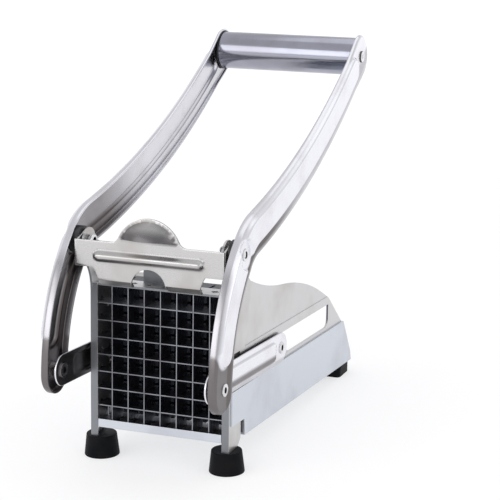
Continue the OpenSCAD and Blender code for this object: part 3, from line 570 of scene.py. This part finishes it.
# Loops round the middle line, one loop for each row of the profile. A row is (share of the
# half width or None at the edge, distance in from the edge, x, whether it is pressed).
def stripMesh(name, line, rows, halfWidth, rise, bend, side, shadeOfPoint, capSteps=22):
    def cap(at, turn):
        p, h, s = at
        for k in range(1, capSteps):
            a = 180 * k / capSteps
            loop.append((p, heading(h + turn + a), s, turn / 90 * math.cos(math.radians(a)),
                         -turn / 90 * math.sin(math.radians(a))))

    loop = [(p, leftOf(h) * -1, s, -1, 0.0) for p, h, s in line]
    cap(line[-1], -90)
    loop += [(p, leftOf(h), s, 1, 0.0) for p, h, s in reversed(line)]
    cap(line[0], 90)
    verts, lay, inside = [], [], []
    for row, (share, inward, xAt, face) in enumerate(rows):
        for p, n, s, tSign, ahead in loop:
            half = halfWidth(s)
            d = half - inward if share is None else share * (half - inward)
            yz = p + n * d
            t, along = tSign * d, s + ahead * d
            x = xAt(s) + (rise(along, t, yz) if face else 0)
            verts.append(bend(Vector((x, yz[0], yz[1])), along))
            lay.append((mm * along, mm * t, mm * x))
            inside.append(shadeOfPoint(row, along, t, yz))
    return meshFrom(name, mirrored(verts, side), loopFaces(len(rows), len(loop)), lay, inside)


# Bends are (radius, turn), from the foot up. "shade" says where shade and dark reflections are painted
# on the arm, from 0 to 1: its hollow back, the flat band behind the ridge, the tip of the foot and the lips.
armLook = {"width": 23.0, "sheet": 1.2, "outer": 50.0, "edge": 1.7,
           "edgeTurns": (75, 60, 45, 30, 15), "bendInside": 0.5, "across": 24,
           "pivotBack": 2.4, "heading": 46, "over": 1.5,
           "low": (97.4, 41.7), "knee": (33.4, 33.2), "sweep": (476.6, -22.9),
           "steps": (120, 44, 190), "ridgeHeight": 1.8, "ridgeHalf": 8.1, "ridgeEdge": 1.9,
           "ridgeMiddle": 2.9, "footFlat": 11, "topFlat": 8.5, "pivotFlat": 7.3,
           "pivotEdge": 1.2, "splay": 1.3, "splayRun": 6, "endHalf": 13.0, "endRun": 18,
           "lip": 4.5, "endLip": 2.3, "lipRun": 5, "lipPast": 1.04,
           "lipRound": ((0, 0.35), (0.12, 0.1), (0.4, 0)),
           "shade": {"highFrom": 34, "highRun": 60,
                     "back": 0.93, "backRidge": 0.18, "backHigh": 0.7,
                     "backWall": 0.15, "wallAt": 0.35, "wallHalf": 0.65,
                     "flat": 0.6, "flatTo": 0.9, "flatHigh": 0.55, "rearRun": 3, "pivotRun": 2,
                     "crease": 1.0, "creaseFrom": 1.6, "creaseRun": 2.2,
                     "tip": 0.9, "tipTo": 0.3, "tipEnd": 26, "tipRun": 9,
                     "lip": 0.55, "lipHigh": 0.3, "lipFrom": 9.6, "lipEdge": 1.6,
                     "belowFrom": 8, "belowRun": 12}}


def armPlan(look):
    lowRadius, lowTurn = look["low"]
    lowSteps, kneeSteps, sweepSteps = look["steps"]
    begin = pivotYZ - leftOf(look["heading"]) * look["pivotBack"]
    lowCentre = begin - leftOf(look["heading"]) * lowRadius
    footHeading = look["heading"] + lowTurn
    overTurn = math.degrees(look["over"] / lowRadius)
    footEnd = lowCentre + leftOf(footHeading + overTurn) * lowRadius
    line = bentLine(footEnd, footHeading + overTurn,
                    [(lowRadius, lowTurn + overTurn, lowSteps), (*look["knee"], kneeSteps),
                     (*look["sweep"], sweepSteps)])
    return lowCentre + leftOf(footHeading) * lowRadius, begin, line


linkYZ, armBegin, armLine = armPlan(armLook)
handleYZ, _, armRun = armLine[-1]
beginRun = next(s for p, h, s in armLine if (p - armBegin).length < 0.01)


def armMesh(name, look, side):
    half, sheet, outer, edge = look["width"] / 2, look["sheet"], look["outer"], look["edge"]
    shade, across = look["shade"], look["across"]
    lipFrom = armLine[sum(look["steps"][:2])][2] + look["lipRun"]
    reach = math.hypot(look["endHalf"], look["endRun"])
    flare = math.acos(half / reach) - math.atan2(look["endRun"], look["endHalf"])
    radius = look["ridgeHalf"]
    first, last = look["over"] + look["footFlat"] + radius, armRun - look["topFlat"] - radius
    splay = math.radians(look["splay"])

    # The round end at the handle and the straight edges that run out to it
    def halfWidth(s):
        ahead = s - armRun
        if ahead > -look["endHalf"] * math.sin(flare):
            return math.sqrt(look["endHalf"] ** 2 - ahead ** 2)
        return max(half, (look["endHalf"] + ahead * math.sin(flare)) / math.cos(flare))

    def lip(s):
        f = min(max((s - lipFrom) / (armRun - lipFrom), 0), look["lipPast"])
        return look["lip"] + (look["endLip"] - look["lip"]) * f

    # 0 at the foot of the ridge's wall, 1 at its top
    def ridgeShare(along, t):
        beyond = max(first - along, along - last, 0)
        return (radius - math.hypot(beyond, t - look["ridgeMiddle"])) / look["ridgeEdge"]

    def rise(along, t, p):
        clear = ((p - pivotYZ).length - look["pivotFlat"]) / look["pivotEdge"]
        return look["ridgeHeight"] * smooth(ridgeShare(along, t)) * smooth(clear)

    def bend(p, along):
        run = look["splayRun"]
        a = splay * smooth((along - beginRun + run / 2) / run)
        dx, dy = p.x - outer, p.y - armBegin[0]
        return Vector((outer + dx * math.cos(a) - dy * math.sin(a),
                       armBegin[0] + dx * math.sin(a) + dy * math.cos(a), p.z))

    # Front face, rolled edge, lip and its round, inner bend, back face
    rows = [(i / across, edge, lambda s: outer, True) for i in range(across + 1)]
    for a in look["edgeTurns"]:
        dx, dr = edge * math.sin(math.radians(a)), edge * (1 - math.cos(math.radians(a)))
        rows.append((None, dr, lambda s, dx=dx: outer - edge + dx, True))
    for inward, up in look["lipRound"]:
        rows.append((None, inward, lambda s, up=up: outer - lip(s) + up, False))
    for inward, up in reversed(look["lipRound"]):
        rows.append((None, sheet - inward, lambda s, up=up: outer - lip(s) + up, False))
    backFrom = len(rows)
    inner, nearer = look["bendInside"], cornerCut * look["bendInside"]
    rows += [(None, sheet, lambda s: outer - sheet - inner, False),
             (None, sheet + nearer, lambda s: outer - sheet - nearer, False),
             (None, sheet + inner, lambda s: outer - sheet, False)]
    rows += [(1 - i / across, edge, lambda s: outer - sheet, True) for i in range(across + 1)]

    # Painted shade: the back face, a painted shadow on the flat band behind the ridge that lightens towards the
    # rear edge, the foot's tip, and a painted dark reflection on the lips
    def shadeOfPoint(row, along, t, p):
        f = ridgeShare(along, t)
        high = smooth((along - beginRun - shade["highFrom"]) / shade["highRun"])
        if row >= backFrom:
            wall = smooth(1 - abs(f - shade["wallAt"]) / shade["wallHalf"])
            hollow = shade["back"] - shade["backRidge"] * smooth(f)
            return (1 - shade["backHigh"] * high) * hollow + shade["backWall"] * wall
        offPivot = smooth(((p - pivotYZ).length - look["pivotFlat"]) / shade["pivotRun"])
        rear = smooth(-t / shade["rearRun"]) * offPivot
        flat = smooth(shade["flatTo"] - f) * rear * (1 - shade["flatHigh"] * high)
        crease = smooth((t + half - shade["creaseFrom"]) / shade["creaseRun"])
        low = smooth((shade["tipEnd"] - along) / shade["tipRun"])
        below = smooth((beginRun - shade["belowFrom"] - along) / shade["belowRun"])
        lipShare = shade["lipHigh"] + (1 - shade["lipHigh"]) * below
        return max((shade["flat"] + (shade["crease"] - shade["flat"]) * crease) * flat,
                   shade["tip"] * smooth(shade["tipTo"] - f) * low,
                   shade["lip"] * lipShare * smooth((t - shade["lipFrom"]) / shade["lipEdge"]))

    return stripMesh(name, armLine, rows, halfWidth, rise, bend, side, shadeOfPoint)


linkLook = {"width": 17, "sheet": 1.2, "inner": 42.2, "press": 1.3, "pressHalf": 5.3,
            "pressEdge": 1.3, "pressCorner": 3, "frontStop": 13, "rearStop": 10, "edge": 0.35,
            "steps": 70, "across": 18,
            "shade": {"back": 0.9, "wallAt": 0.3, "wallHalf": 0.7, "wallLow": 0.9,
                      "wallHigh": 0.3, "lower": 0.85, "lowerFrom": 0.5, "lowerRun": 2.4,
                      "rim": 0.35, "rimRun": 1.5}}


def linkMesh(name, look, side):
    run = axleYZ - linkYZ
    length = run.length
    tilt = math.degrees(math.atan2(run[1], run[0]))
    steps, across, shade = look["steps"], look["across"], look["shade"]
    line = [(linkYZ + run * i / steps, tilt, length * i / steps) for i in range(steps + 1)]
    inner, outer, edge = look["inner"], look["inner"] + look["sheet"], look["edge"]
    a, b = look["frontStop"], length - look["rearStop"]
    corner = look["pressCorner"]

    # 0 at the foot of the wall of the pressed channel, 1 at its top
    def pressShare(along, t):
        dx = abs(along - (a + b) / 2) - ((b - a) / 2 - corner)
        dy = abs(t) - (look["pressHalf"] - corner)
        d = math.hypot(max(dx, 0), max(dy, 0)) - corner + min(max(dx, dy), 0)
        return 0.5 - d / look["pressEdge"]

    def rise(along, t, p):
        return look["press"] * smooth(pressShare(along, t))

    rows = [(i / across, edge, lambda s: outer, True) for i in range(across + 1)]
    nearer = cornerCut * edge
    rows += [(None, nearer, lambda s: outer - nearer, False),
             (None, 0, lambda s: outer - edge, False),
             (None, 0, lambda s: inner + edge, False),
             (None, nearer, lambda s: inner + nearer, False)]
    backFrom = len(rows)
    rows += [(1 - i / across, edge, lambda s: inner, True) for i in range(across + 1)]

    # Painted shade: the whole back face, the walls of the pressed channel, the band below it and along the lower
    # edge
    def shadeOfPoint(row, along, t, p):
        if row >= backFrom:
            return shade["back"]
        f = pressShare(along, t)
        wall = smooth(1 - abs(f - shade["wallAt"]) / shade["wallHalf"])
        lower = smooth((-t - shade["lowerFrom"]) / shade["lowerRun"]) * smooth(f)
        return max((shade["wallLow"] if t < 0 else shade["wallHigh"]) * wall,
                   shade["lower"] * lower,
                   shade["rim"] * smooth((-t - look["pressHalf"]) / shade["rimRun"]))

    return stripMesh(name, line, rows, lambda s: look["width"] / 2, rise, lambda p, s: p, side,
                     shadeOfPoint)


for side, word in sides:
    settle("arm_" + word, armMesh("arm_" + word, armLook, side), "polished_steel",
           ["lever_arm_" + word], sharp=50)
    settle("pull_link_" + word, linkMesh("pull_link_" + word, linkLook, side), "polished_steel",
           ["link_" + word], sharp=50)
print("arms and links made")

# The arms lean inwards, so all that ends in them at the handle sits further in
splaySine = math.sin(math.radians(armLook["splay"]))
splayShift = (handleYZ[0] - armBegin[0]) * splaySine
handleLook = {"radius": 11.2, "wall": 1.2, "round": 0.5, "tubeSteps": 96,
              "capSeat": 48.64, "capRim": 0.4, "capFace": 0.8, "capRound": 0.35,
              "plug": 8, "plugRound": 0.6,
              "rod": 2.5, "rodHead": 3.4, "rodSeat": 50.09, "rodRound": 0.4, "rodLift": 0.3,
              "rodSteps": 48, "rodDark": 0.85, "rodDarkFrom": 3.2,
              "dimple": [(0.62, 1.6), (0.55, 1.2), (0.1, 0.9), (0.1, 0.0)]}


def makeHandle(look):
    radius, rod, rim = look["radius"], look["rod"], look["round"]
    bore = radius - look["wall"]
    outer = look["capSeat"] - splayShift - armLook["endHalf"] * splaySine
    tubeEnd = outer - look["capFace"]
    end = arcPoints(tubeEnd - rim, radius - rim, rim, 90, 0) + [(tubeEnd, bore)]
    profile = [(-x, r) for x, r in reversed(end)] + end
    mesh = turned("grip_tube", profile, handleYZ, closed=True, steps=look["tubeSteps"])
    settle("grip_tube", mesh, "brushed_tube", ["handle_tube"])
    for side, word in sides:
        plugEnd, ease = tubeEnd - look["plug"], look["capRound"]
        flange = radius + look["capRim"] - ease
        profile = ([(plugEnd, rod), (plugEnd, bore - look["plugRound"]),
                    (plugEnd + look["plugRound"], bore), (tubeEnd, bore)]
                   + arcPoints(tubeEnd + ease, flange, ease, 180, 90, 3)
                   + arcPoints(outer - ease, flange, ease, 90, 0, 4) + [(outer, rod)])
        mesh = turned("grip_cap_" + word, profile, handleYZ, side, closed=True)
        settle("grip_cap_" + word, mesh, "black_nylon", ["handle_cap_" + word])
    head, ease = look["rodHead"], look["rodRound"]
    endX = look["rodSeat"] - splayShift + head * splaySine
    half = ([(0.0, rod), (endX, rod), (endX, head)]
            + arcPoints(endX + look["rodLift"], head - ease, ease, 90, 5, 5)
            + [(endX + x, r) for x, r in look["dimple"]])
    profile = [(-x, r) for x, r in reversed(half)] + half[1:]
    # The outer rim of the rod's head is painted dark, a painted shade
    mesh = turned("grip_rod", profile, handleYZ, steps=look["rodSteps"],
                  shade=lambda x, r: look["rodDark"] * (r > look["rodDarkFrom"]))
    settle("grip_rod", mesh, "rivet_steel", ["handle_rod"], sharp=60)


makeHandle(handleLook)

# Seats are the x of a head's underside. "footHead" is the inner head: inner x, outer x,
# radius. Collar and spacer are inner x, outer x, bore, radius and chamfer.
rivetLook = {"bore": 1.5, "mainBore": 1.8, "dark": 0.1, "boreDepth": 0.6, "mouth": 0.42,
             "head": 3.4, "headRound": 0.5, "crown": 0.06, "lift": 0.7, "mainLift": 0.5,
             "mainSeat": 50.1, "mainShank": 2.5, "plateIn": 39.5, "neck": 2.36, "neckShank": 2.1,
             "footSeat": 50.05, "shank": 2.4, "footHead": (41.5, 42.1, 4.0),
             "eyeSeat": 43.4, "eyeIn": 42.2,
             "collar": (43.5, 48.75, 2.4, 4.4, 0.2), "spacer": (42.9, 48.4, 2.5, 7.5, 0.3)}


# Rolled rim of a hollow rivet, from the bore out to the edge of the head
def rolledRim(x0, look, bore, lift):
    head, mouth, ease = look["head"], look["mouth"], look["headRound"]
    return ([(x0 - look["boreDepth"], bore)]
            + arcPoints(x0 + lift - mouth, bore + mouth, mouth, -90, -6, 5)
            + [(x0 + lift - look["crown"], 0.5 * (bore + head))]
            + arcPoints(x0 + lift - ease, head - ease, ease, 6, 84, 5) + [(x0, head)])


def chamferedRing(x0, x1, bore, radius, cut):
    return [(x0, bore), (x0, radius - cut), (x0 + cut, radius), (x1 - cut, radius),
            (x1, radius - cut), (x1, bore)]


def makeRivets(look):
    bore, mainBore, lift = look["bore"], look["mainBore"], look["lift"]
    plateIn, neck = look["plateIn"], look["plateIn"] - look["neck"]
    seat, shank, thin = look["mainSeat"], look["mainShank"], look["neckShank"]
    tail = [(neck - x, r) for x, r in rolledRim(0, look, mainBore, lift)]
    main = (rolledRim(seat, look, mainBore, look["mainLift"])
            + [(seat, shank), (plateIn, shank), (plateIn, thin), (neck, thin)] + tail[::-1])
    seat, shank = look["footSeat"], look["shank"]
    headIn, headOut, headRadius = look["footHead"]
    foot = (rolledRim(seat, look, bore, lift)
            + [(seat, shank), (headOut, shank), (headOut, headRadius), (headIn, headRadius),
               (headIn, bore)])
    seat, eyeIn = look["eyeSeat"], look["eyeIn"]
    eye = rolledRim(seat, look, bore, lift) + [(seat, shank), (eyeIn, shank), (eyeIn, bore)]
    collar, spacer = chamferedRing(*look["collar"]), chamferedRing(*look["spacer"])
    hollow = (("pivot_rivet_", "main_rivet_", main, pivotYZ, mainBore),
              ("foot_rivet_", "link_rivet_", foot, linkYZ, bore),
              ("eye_rivet_", "link_eye_rivet_", eye, axleYZ, bore))
    for side, word in sides:
        for piece, node, profile, middle, hole in hollow:
            # The bores are darkened with painted shade
            mesh = turned(piece + word, profile, middle, side, True,
                          shade=lambda x, r: r < hole + look["dark"])
            settle(piece + word, mesh, "rivet_steel", [node + word], sharp=60)
        mesh = turned("foot_collar_" + word, collar, linkYZ, side, True)
        settle("foot_collar_" + word, mesh, "rivet_steel", ["link_collar_" + word])
        mesh = turned("spacer_" + word, spacer, pivotYZ, side, True)
        settle("spacer_" + word, mesh, "black_nylon", ["pivot_spacer_" + word])


# Round wire along a run of points
def wireMesh(name, points, radius, around=12):
    verts = []
    points = [Vector(p) for p in points]
    across = (points[1] - points[0]).normalized().orthogonal().normalized()
    for i, p in enumerate(points):
        ahead = (points[min(i + 1, len(points) - 1)] - points[max(i - 1, 0)]).normalized()
        across = (across - ahead * across.dot(ahead)).normalized()
        up = ahead.cross(across)
        for k in range(around):
            a = 2 * math.pi * k / around
            verts.append(p + (across * math.cos(a) + up * math.sin(a)) * radius)
    faces = loopFaces(len(points), around)
    faces.append(tuple(range(around))[::-1])
    faces.append(tuple(range((len(points) - 1) * around, len(points) * around)))
    return meshFrom(name, verts, faces)


# The front leg stands up to the coil in steps of legStep, the rear leg leans back
springLook = {"wire": 0.4, "coil": 2.65, "turns": 2, "pitch": 0.88, "plateIn": 39.3,
              "frontLeg": 12, "legStep": 2.0, "rearLeg": 10, "rearSteps": 5,
              "rearLean": (0.5, 0.866), "steps": 32}


def makeSprings(look):
    steps, coil = look["steps"], look["coil"]
    y0, z0 = pivotYZ
    x0 = look["plateIn"] - look["pitch"] / 2
    frontSteps = int(look["frontLeg"] / look["legStep"])
    back, down = look["rearLean"]
    for side, word in sides:
        points = [(x0, y0 + coil, z0 - look["frontLeg"] + k * look["legStep"])
                  for k in range(frontSteps)]
        for i in range(int((look["turns"] - 0.5) * steps) + 1):
            a = 2 * math.pi * i / steps
            points.append((x0 - look["pitch"] * i / steps, y0 + coil * math.cos(a),
                           z0 + coil * math.sin(a)))
        x1 = points[-1][0]
        for k in range(1, look["rearSteps"] + 1):
            run = look["rearLeg"] * k / look["rearSteps"]
            points.append((x1, y0 - coil - back * run, z0 - down * run))
        mesh = wireMesh("return_spring_" + word, mirrored(points, side), look["wire"])
        settle("return_spring_" + word, mesh, "spring_steel", ["gate_spring_" + word], sharp=60)


makeRivets(rivetLook)
makeSprings(springLook)
print("handle, rivets, spacers and springs made")

# The rib and the half dome are pressed out to the front. "mesh" is the distance of the
# points between them, "clear" their least distance from an edge. Folds over "shaded"
# degrees look sharp, and edges over "sharp" are eased, at the lips those over "lipSharp".
gateLook = {"front": -15.0, "sheet": 1.2, "half": 42.8, "top": 123.0, "end": 108.8,
            "flapHalf": 31, "flapIn": 1.6, "flapOut": 1.2, "flapDrop": 2, "fold": 102.4,
            "lip": 5, "lipAngle": 45, "archRadius": 10, "archTop": 110.1,
            "ribZ": 115, "ribHalf": 31.5, "ribRadius": 2.6, "ribWall": 0.6, "ribHeight": 2.5,
            "ribCrown": 1.25, "ribColumns": 27, "ribShift": 0.3,
            "ribRows": (-3.6, -3.1, -2.6, -2.1, -1.6, -0.8, 0.3, 0.9, 1.6, 2.1, 2.6, 3.1),
            "thumbRadius": 19, "thumbTop": 137, "thumbFillet": 5, "ball": 22,
            "domeRadius": 17.4, "domeCut": 124.8, "corner": 2.2, "earRadius": 5.8,
            "earSteps": 24, "mesh": 1.3, "clear": 0.7, "shaded": 40, "sharp": 50,
            "lipSharp": 30, "frontEase": 0.2, "ease": 0.3,
            "shade": {"ribLow": 0.92, "ribLowAt": 0.45, "ribLowHalf": 0.7,
                      "ribTop": 0.6, "ribTopAt": 0.02, "ribTopHalf": 0.2,
                      "rim": 0.6, "rimWidth": 5, "rimMiddle": 0.35, "rimRun": 10,
                      "dome": 0.88, "domeTo": 1.4, "domeRun": 7, "lip": 0.5}}


def gateOutline(look):
    thumb, web, arch = look["thumbRadius"], look["thumbFillet"], look["archRadius"]
    thumbZ = look["thumbTop"] - thumb
    drop = look["top"] + web - thumbZ
    run = math.sqrt((thumb + web) ** 2 - drop ** 2)
    reach = math.degrees(math.atan2(drop, run))
    flap, end = look["flapHalf"], look["end"]
    right = [(arch, look["fold"]), (flap - look["flapIn"], look["fold"]),
             (flap, end - look["flapDrop"]), (flap + look["flapOut"], end),
             (look["half"], end), (look["half"], look["top"])]
    top = (arcPoints(run, look["top"] + web, web, 270, 180 + reach, 8)
           + arcPoints(0, thumbZ, thumb, reach, 180 - reach, 40)[1:-1]
           + arcPoints(-run, look["top"] + web, web, -reach, -90, 8))
    left = [(-x, z) for x, z in reversed(right)]
    archArc = arcPoints(0, look["archTop"] - arch, arch, 180, 0, 28)
    return right + top + left + archArc[:-1]


def insideOutline(x, z, outline):
    hit = False
    for (x1, z1), (x2, z2) in zip(outline, outline[1:] + outline[:1]):
        if (z1 > z) != (z2 > z) and x < (x2 - x1) * (z - z1) / (z2 - z1) + x1:
            hit = not hit
    return hit


def edgeGap(x, z, outline):
    p, best = Vector((x, z)), math.inf
    for a, b in zip(outline, outline[1:] + outline[:1]):
        a, b = Vector(a), Vector(b)
        run = b - a
        f = min(max((p - a).dot(run) / max(run.length_squared, 1e-12), 0), 1)
        best = min(best, (p - a - run * f).length)
    return best


# Points and edges of the flat front, with the slit of the dome as an arc of its own
def flatFront(look):
    outline = gateOutline(look)
    radius, domeZ = look["domeRadius"], look["thumbTop"] - look["thumbRadius"]
    reach = math.degrees(math.asin((look["domeCut"] - domeZ) / radius))
    domeArc = arcPoints(0, domeZ, radius, reach, 180 - reach, 32)
    verts = [Vector(p) for p in outline] + [Vector(p) for p in domeArc]
    n, m = len(outline), len(domeArc)
    edges = [(i, (i + 1) % n) for i in range(n)] + [(n + i, n + i + 1) for i in range(m - 1)]
    edges.append((n + m - 1, n))
    step, clear = look["mesh"], look["clear"]
    for i in range(int(2 * look["half"] / step) + 1):
        for j in range(int((look["thumbTop"] - look["fold"]) / step) + 1):
            x = -look["half"] + i * step
            z = look["fold"] + j * step
            if (insideOutline(x, z, outline) and edgeGap(x, z, outline) >= clear
                    and edgeGap(x, z, domeArc) >= clear):
                verts.append(Vector((x, z)))
    for k in range(-look["ribColumns"], look["ribColumns"] + 1):
        for d in look["ribRows"]:
            verts.append(Vector((k * step + look["ribShift"], look["ribZ"] + d)))
    return verts, edges, outline


def gateMesh(name, look):
    verts, edges, outline = flatFront(look)
    flat, _, tris = delaunay_2d_cdt(verts, edges, [], 1, 0.0001)[:3]
    ball, radius, shade = look["ball"], look["domeRadius"], look["shade"]
    depth = math.sqrt(ball ** 2 - radius ** 2)
    cut, domeZ = look["domeCut"], look["thumbTop"] - look["thumbRadius"]
    near = 0.001

    def inDome(x, z):
        return z > cut - near and math.hypot(x, z - domeZ) < radius + near

    # 0 at the foot of the rib's wall, above 1 on its crown
    def ribShare(x, z):
        run = max(abs(x) - (look["ribHalf"] - look["ribRadius"]), 0)
        away = math.hypot(run, z - look["ribZ"]) / (look["ribRadius"] + look["ribWall"])
        return look["ribCrown"] - look["ribCrown"] * away

    # Painted shade along the rib: a dark band along its lower wall and a thinner one along its top
    def ribShadePaint(x, z):
        part = "ribLow" if z < look["ribZ"] else "ribTop"
        off = abs(ribShare(x, z) - shade[part + "At"])
        return shade[part] * smooth(1 - off / shade[part + "Half"])

    # Painted shade and dark reflection on the dome: round its rim, most at the sides, and darker towards the slit
    # at its foot
    def domeShadePaint(x, z):
        fromEdge = radius - math.hypot(x, z - domeZ)
        middle = shade["rimMiddle"]
        rim = (smooth(1 - fromEdge / shade["rimWidth"])
               * (middle + (1 - middle) * smooth(abs(x) / shade["rimRun"])))
        low = (z - cut) / shade["domeRun"]
        return max(shade["rim"] * rim, shade["dome"] * smooth(shade["domeTo"] - low))

    points = [(p.x, look["front"] - look["ribHeight"] * smooth(ribShare(p.x, p.y)), p.y)
              for p in flat]
    inside = [ribShadePaint(p.x, p.y) for p in flat]
    faces, domed = [], []
    for f in tris:
        cx = sum(flat[i].x for i in f) / 3
        cz = sum(flat[i].y for i in f) / 3
        if insideOutline(cx, cz, outline):
            (domed if inDome(cx, cz) else faces).append(tuple(f))
    # The dome has points of its own, so that its slit stays open
    again = {}
    for f in domed:
        for i in f:
            if i not in again:
                x, z = flat[i]
                bulge = math.sqrt(max(ball ** 2 - x ** 2 - (z - domeZ) ** 2, 0)) - depth
                again[i] = len(points)
                points.append((x, look["front"] - max(bulge, 0), z))
                inside.append(domeShadePaint(x, z))
        faces.append(tuple(again[i] for i in f))
    return meshFrom(name, points, faces, inside=inside, near=0.01)


def makeGate(look):
    mesh = gateMesh("gate_front", look)
    flip = bmesh.new()
    flip.from_mesh(mesh)
    if sum(f.normal.y * f.calc_area() for f in flip.faces) > 0:
        bmesh.ops.reverse_faces(flip, faces=flip.faces)
    flip.to_mesh(mesh)
    flip.free()
    front = settle("gate_front", mesh, "gate_steel", ["gate_plate"], look["shaded"])
    thick = front.modifiers.new("sheet", "SOLIDIFY")
    thick.thickness = look["sheet"] * mm
    thick.offset = -1
    thick.use_even_offset = True
    easeCorners(front, look["frontEase"], look["sharp"])
    # Ears at both ends, bent back to the pivots, and lips folded back under the flaps
    bendY = look["front"] + look["corner"]
    ring = arcPoints(pivotYZ[0], pivotYZ[1], look["earRadius"], -90, 90, look["earSteps"])
    ear = [(bendY, look["end"])] + ring + [(bendY, look["top"])]
    a = math.radians(look["lipAngle"])
    down = Vector((math.sin(a), -math.cos(a))) * look["lip"]
    back = Vector((math.cos(a), math.sin(a))) * look["sheet"]
    base = Vector((look["front"], look["fold"]))
    lip = [base, base + down, base + down + back, base + back]
    # The lips folded under the flaps are darkened with painted shade; the ears are not
    folds = (("gate_ear_", ear, look["half"], look["half"] - look["sheet"], None, look["sharp"]),
             ("gate_lip_", lip, look["archRadius"], look["flapHalf"] - look["flapIn"],
              look["shade"]["lip"], look["lipSharp"]))
    for piece, section, x0, x1, dullAndShade, sharp in folds:
        for side, word in sides:
            mesh = slabMesh(piece + word, section, x0, x1, side, dullAndShade)
            fold = settle(piece + word, mesh, "gate_steel", ["gate_plate"], look["shaded"])
            easeCorners(fold, look["ease"], sharp)


makeGate(gateLook)
print("gate made")

# Copies of CAD nodes: points nearer than "merge" join, faces flatter than "flat" become
# one, corners over "sharp" are eased, and faces turned to the front are darkened with a painted dark reflection
skinLook = {"merge": 0.002, "flat": 0.6, "sharp": 35, "frontShade": 0.75, "frontSlope": 4,
            "frontFrom": 2.6}


def easedCopy(look, node, finish, width):
    mesh = frame["nodes"][node].data.copy()
    mesh.name = node + "_skin"
    bm = bmesh.new()
    bm.from_mesh(mesh)
    bmesh.ops.remove_doubles(bm, verts=bm.verts, dist=look["merge"] * mm)
    bmesh.ops.dissolve_limit(bm, angle_limit=math.radians(look["flat"]), verts=bm.verts,
                             edges=bm.edges)
    bmesh.ops.recalc_face_normals(bm, faces=bm.faces)
    bm.to_mesh(mesh)
    bm.free()
    # Faces turned to the front get a painted dark reflection
    dullAndShade = [look["frontShade"] * smooth(-look["frontSlope"] * f.normal.y - look["frontFrom"])
            for f in mesh.polygons]
    mesh.attributes.new("inside", "FLOAT", "FACE").data.foreach_set("value", dullAndShade)
    piece = settle(node + "_skin", mesh, finish, [node], sharp=look["sharp"], inRow=True)
    easeCorners(piece, width, look["sharp"], harden=True)


# Finish, and width of the eased corners in millimetres
skins = {
    "base_tray": ("satin_steel", 0.35), "side_plate_right": ("plate_steel", 0.3),
    "side_plate_left": ("plate_steel", 0.3), "cassette_frame": ("plate_steel", 0.25),
    "vertical_blades": ("blade_steel", 0.08), "horizontal_blades": ("blade_steel", 0.08),
    "pusher_block": ("navy_plastic", 0.45), "pusher_carrier": ("satin_steel", 0.3),
    "pusher_axle": ("rivet_steel", 0.3), "pusher_rivets": ("rivet_steel", 0.3),
    "slide_bush_right": ("black_nylon", 0.3), "slide_bush_left": ("black_nylon", 0.3),
    "front_foot_right": ("black_rubber", 0.8), "front_foot_left": ("black_rubber", 0.8),
    "rear_foot_right": ("black_rubber", 0.6), "rear_foot_left": ("black_rubber", 0.6),
    "rear_foot_rivets": ("rivet_steel", 0.2),
}
for node, (finish, width) in skins.items():
    easedCopy(skinLook, node, finish, width)
print("sheet body, feet, pusher and cassette dressed")
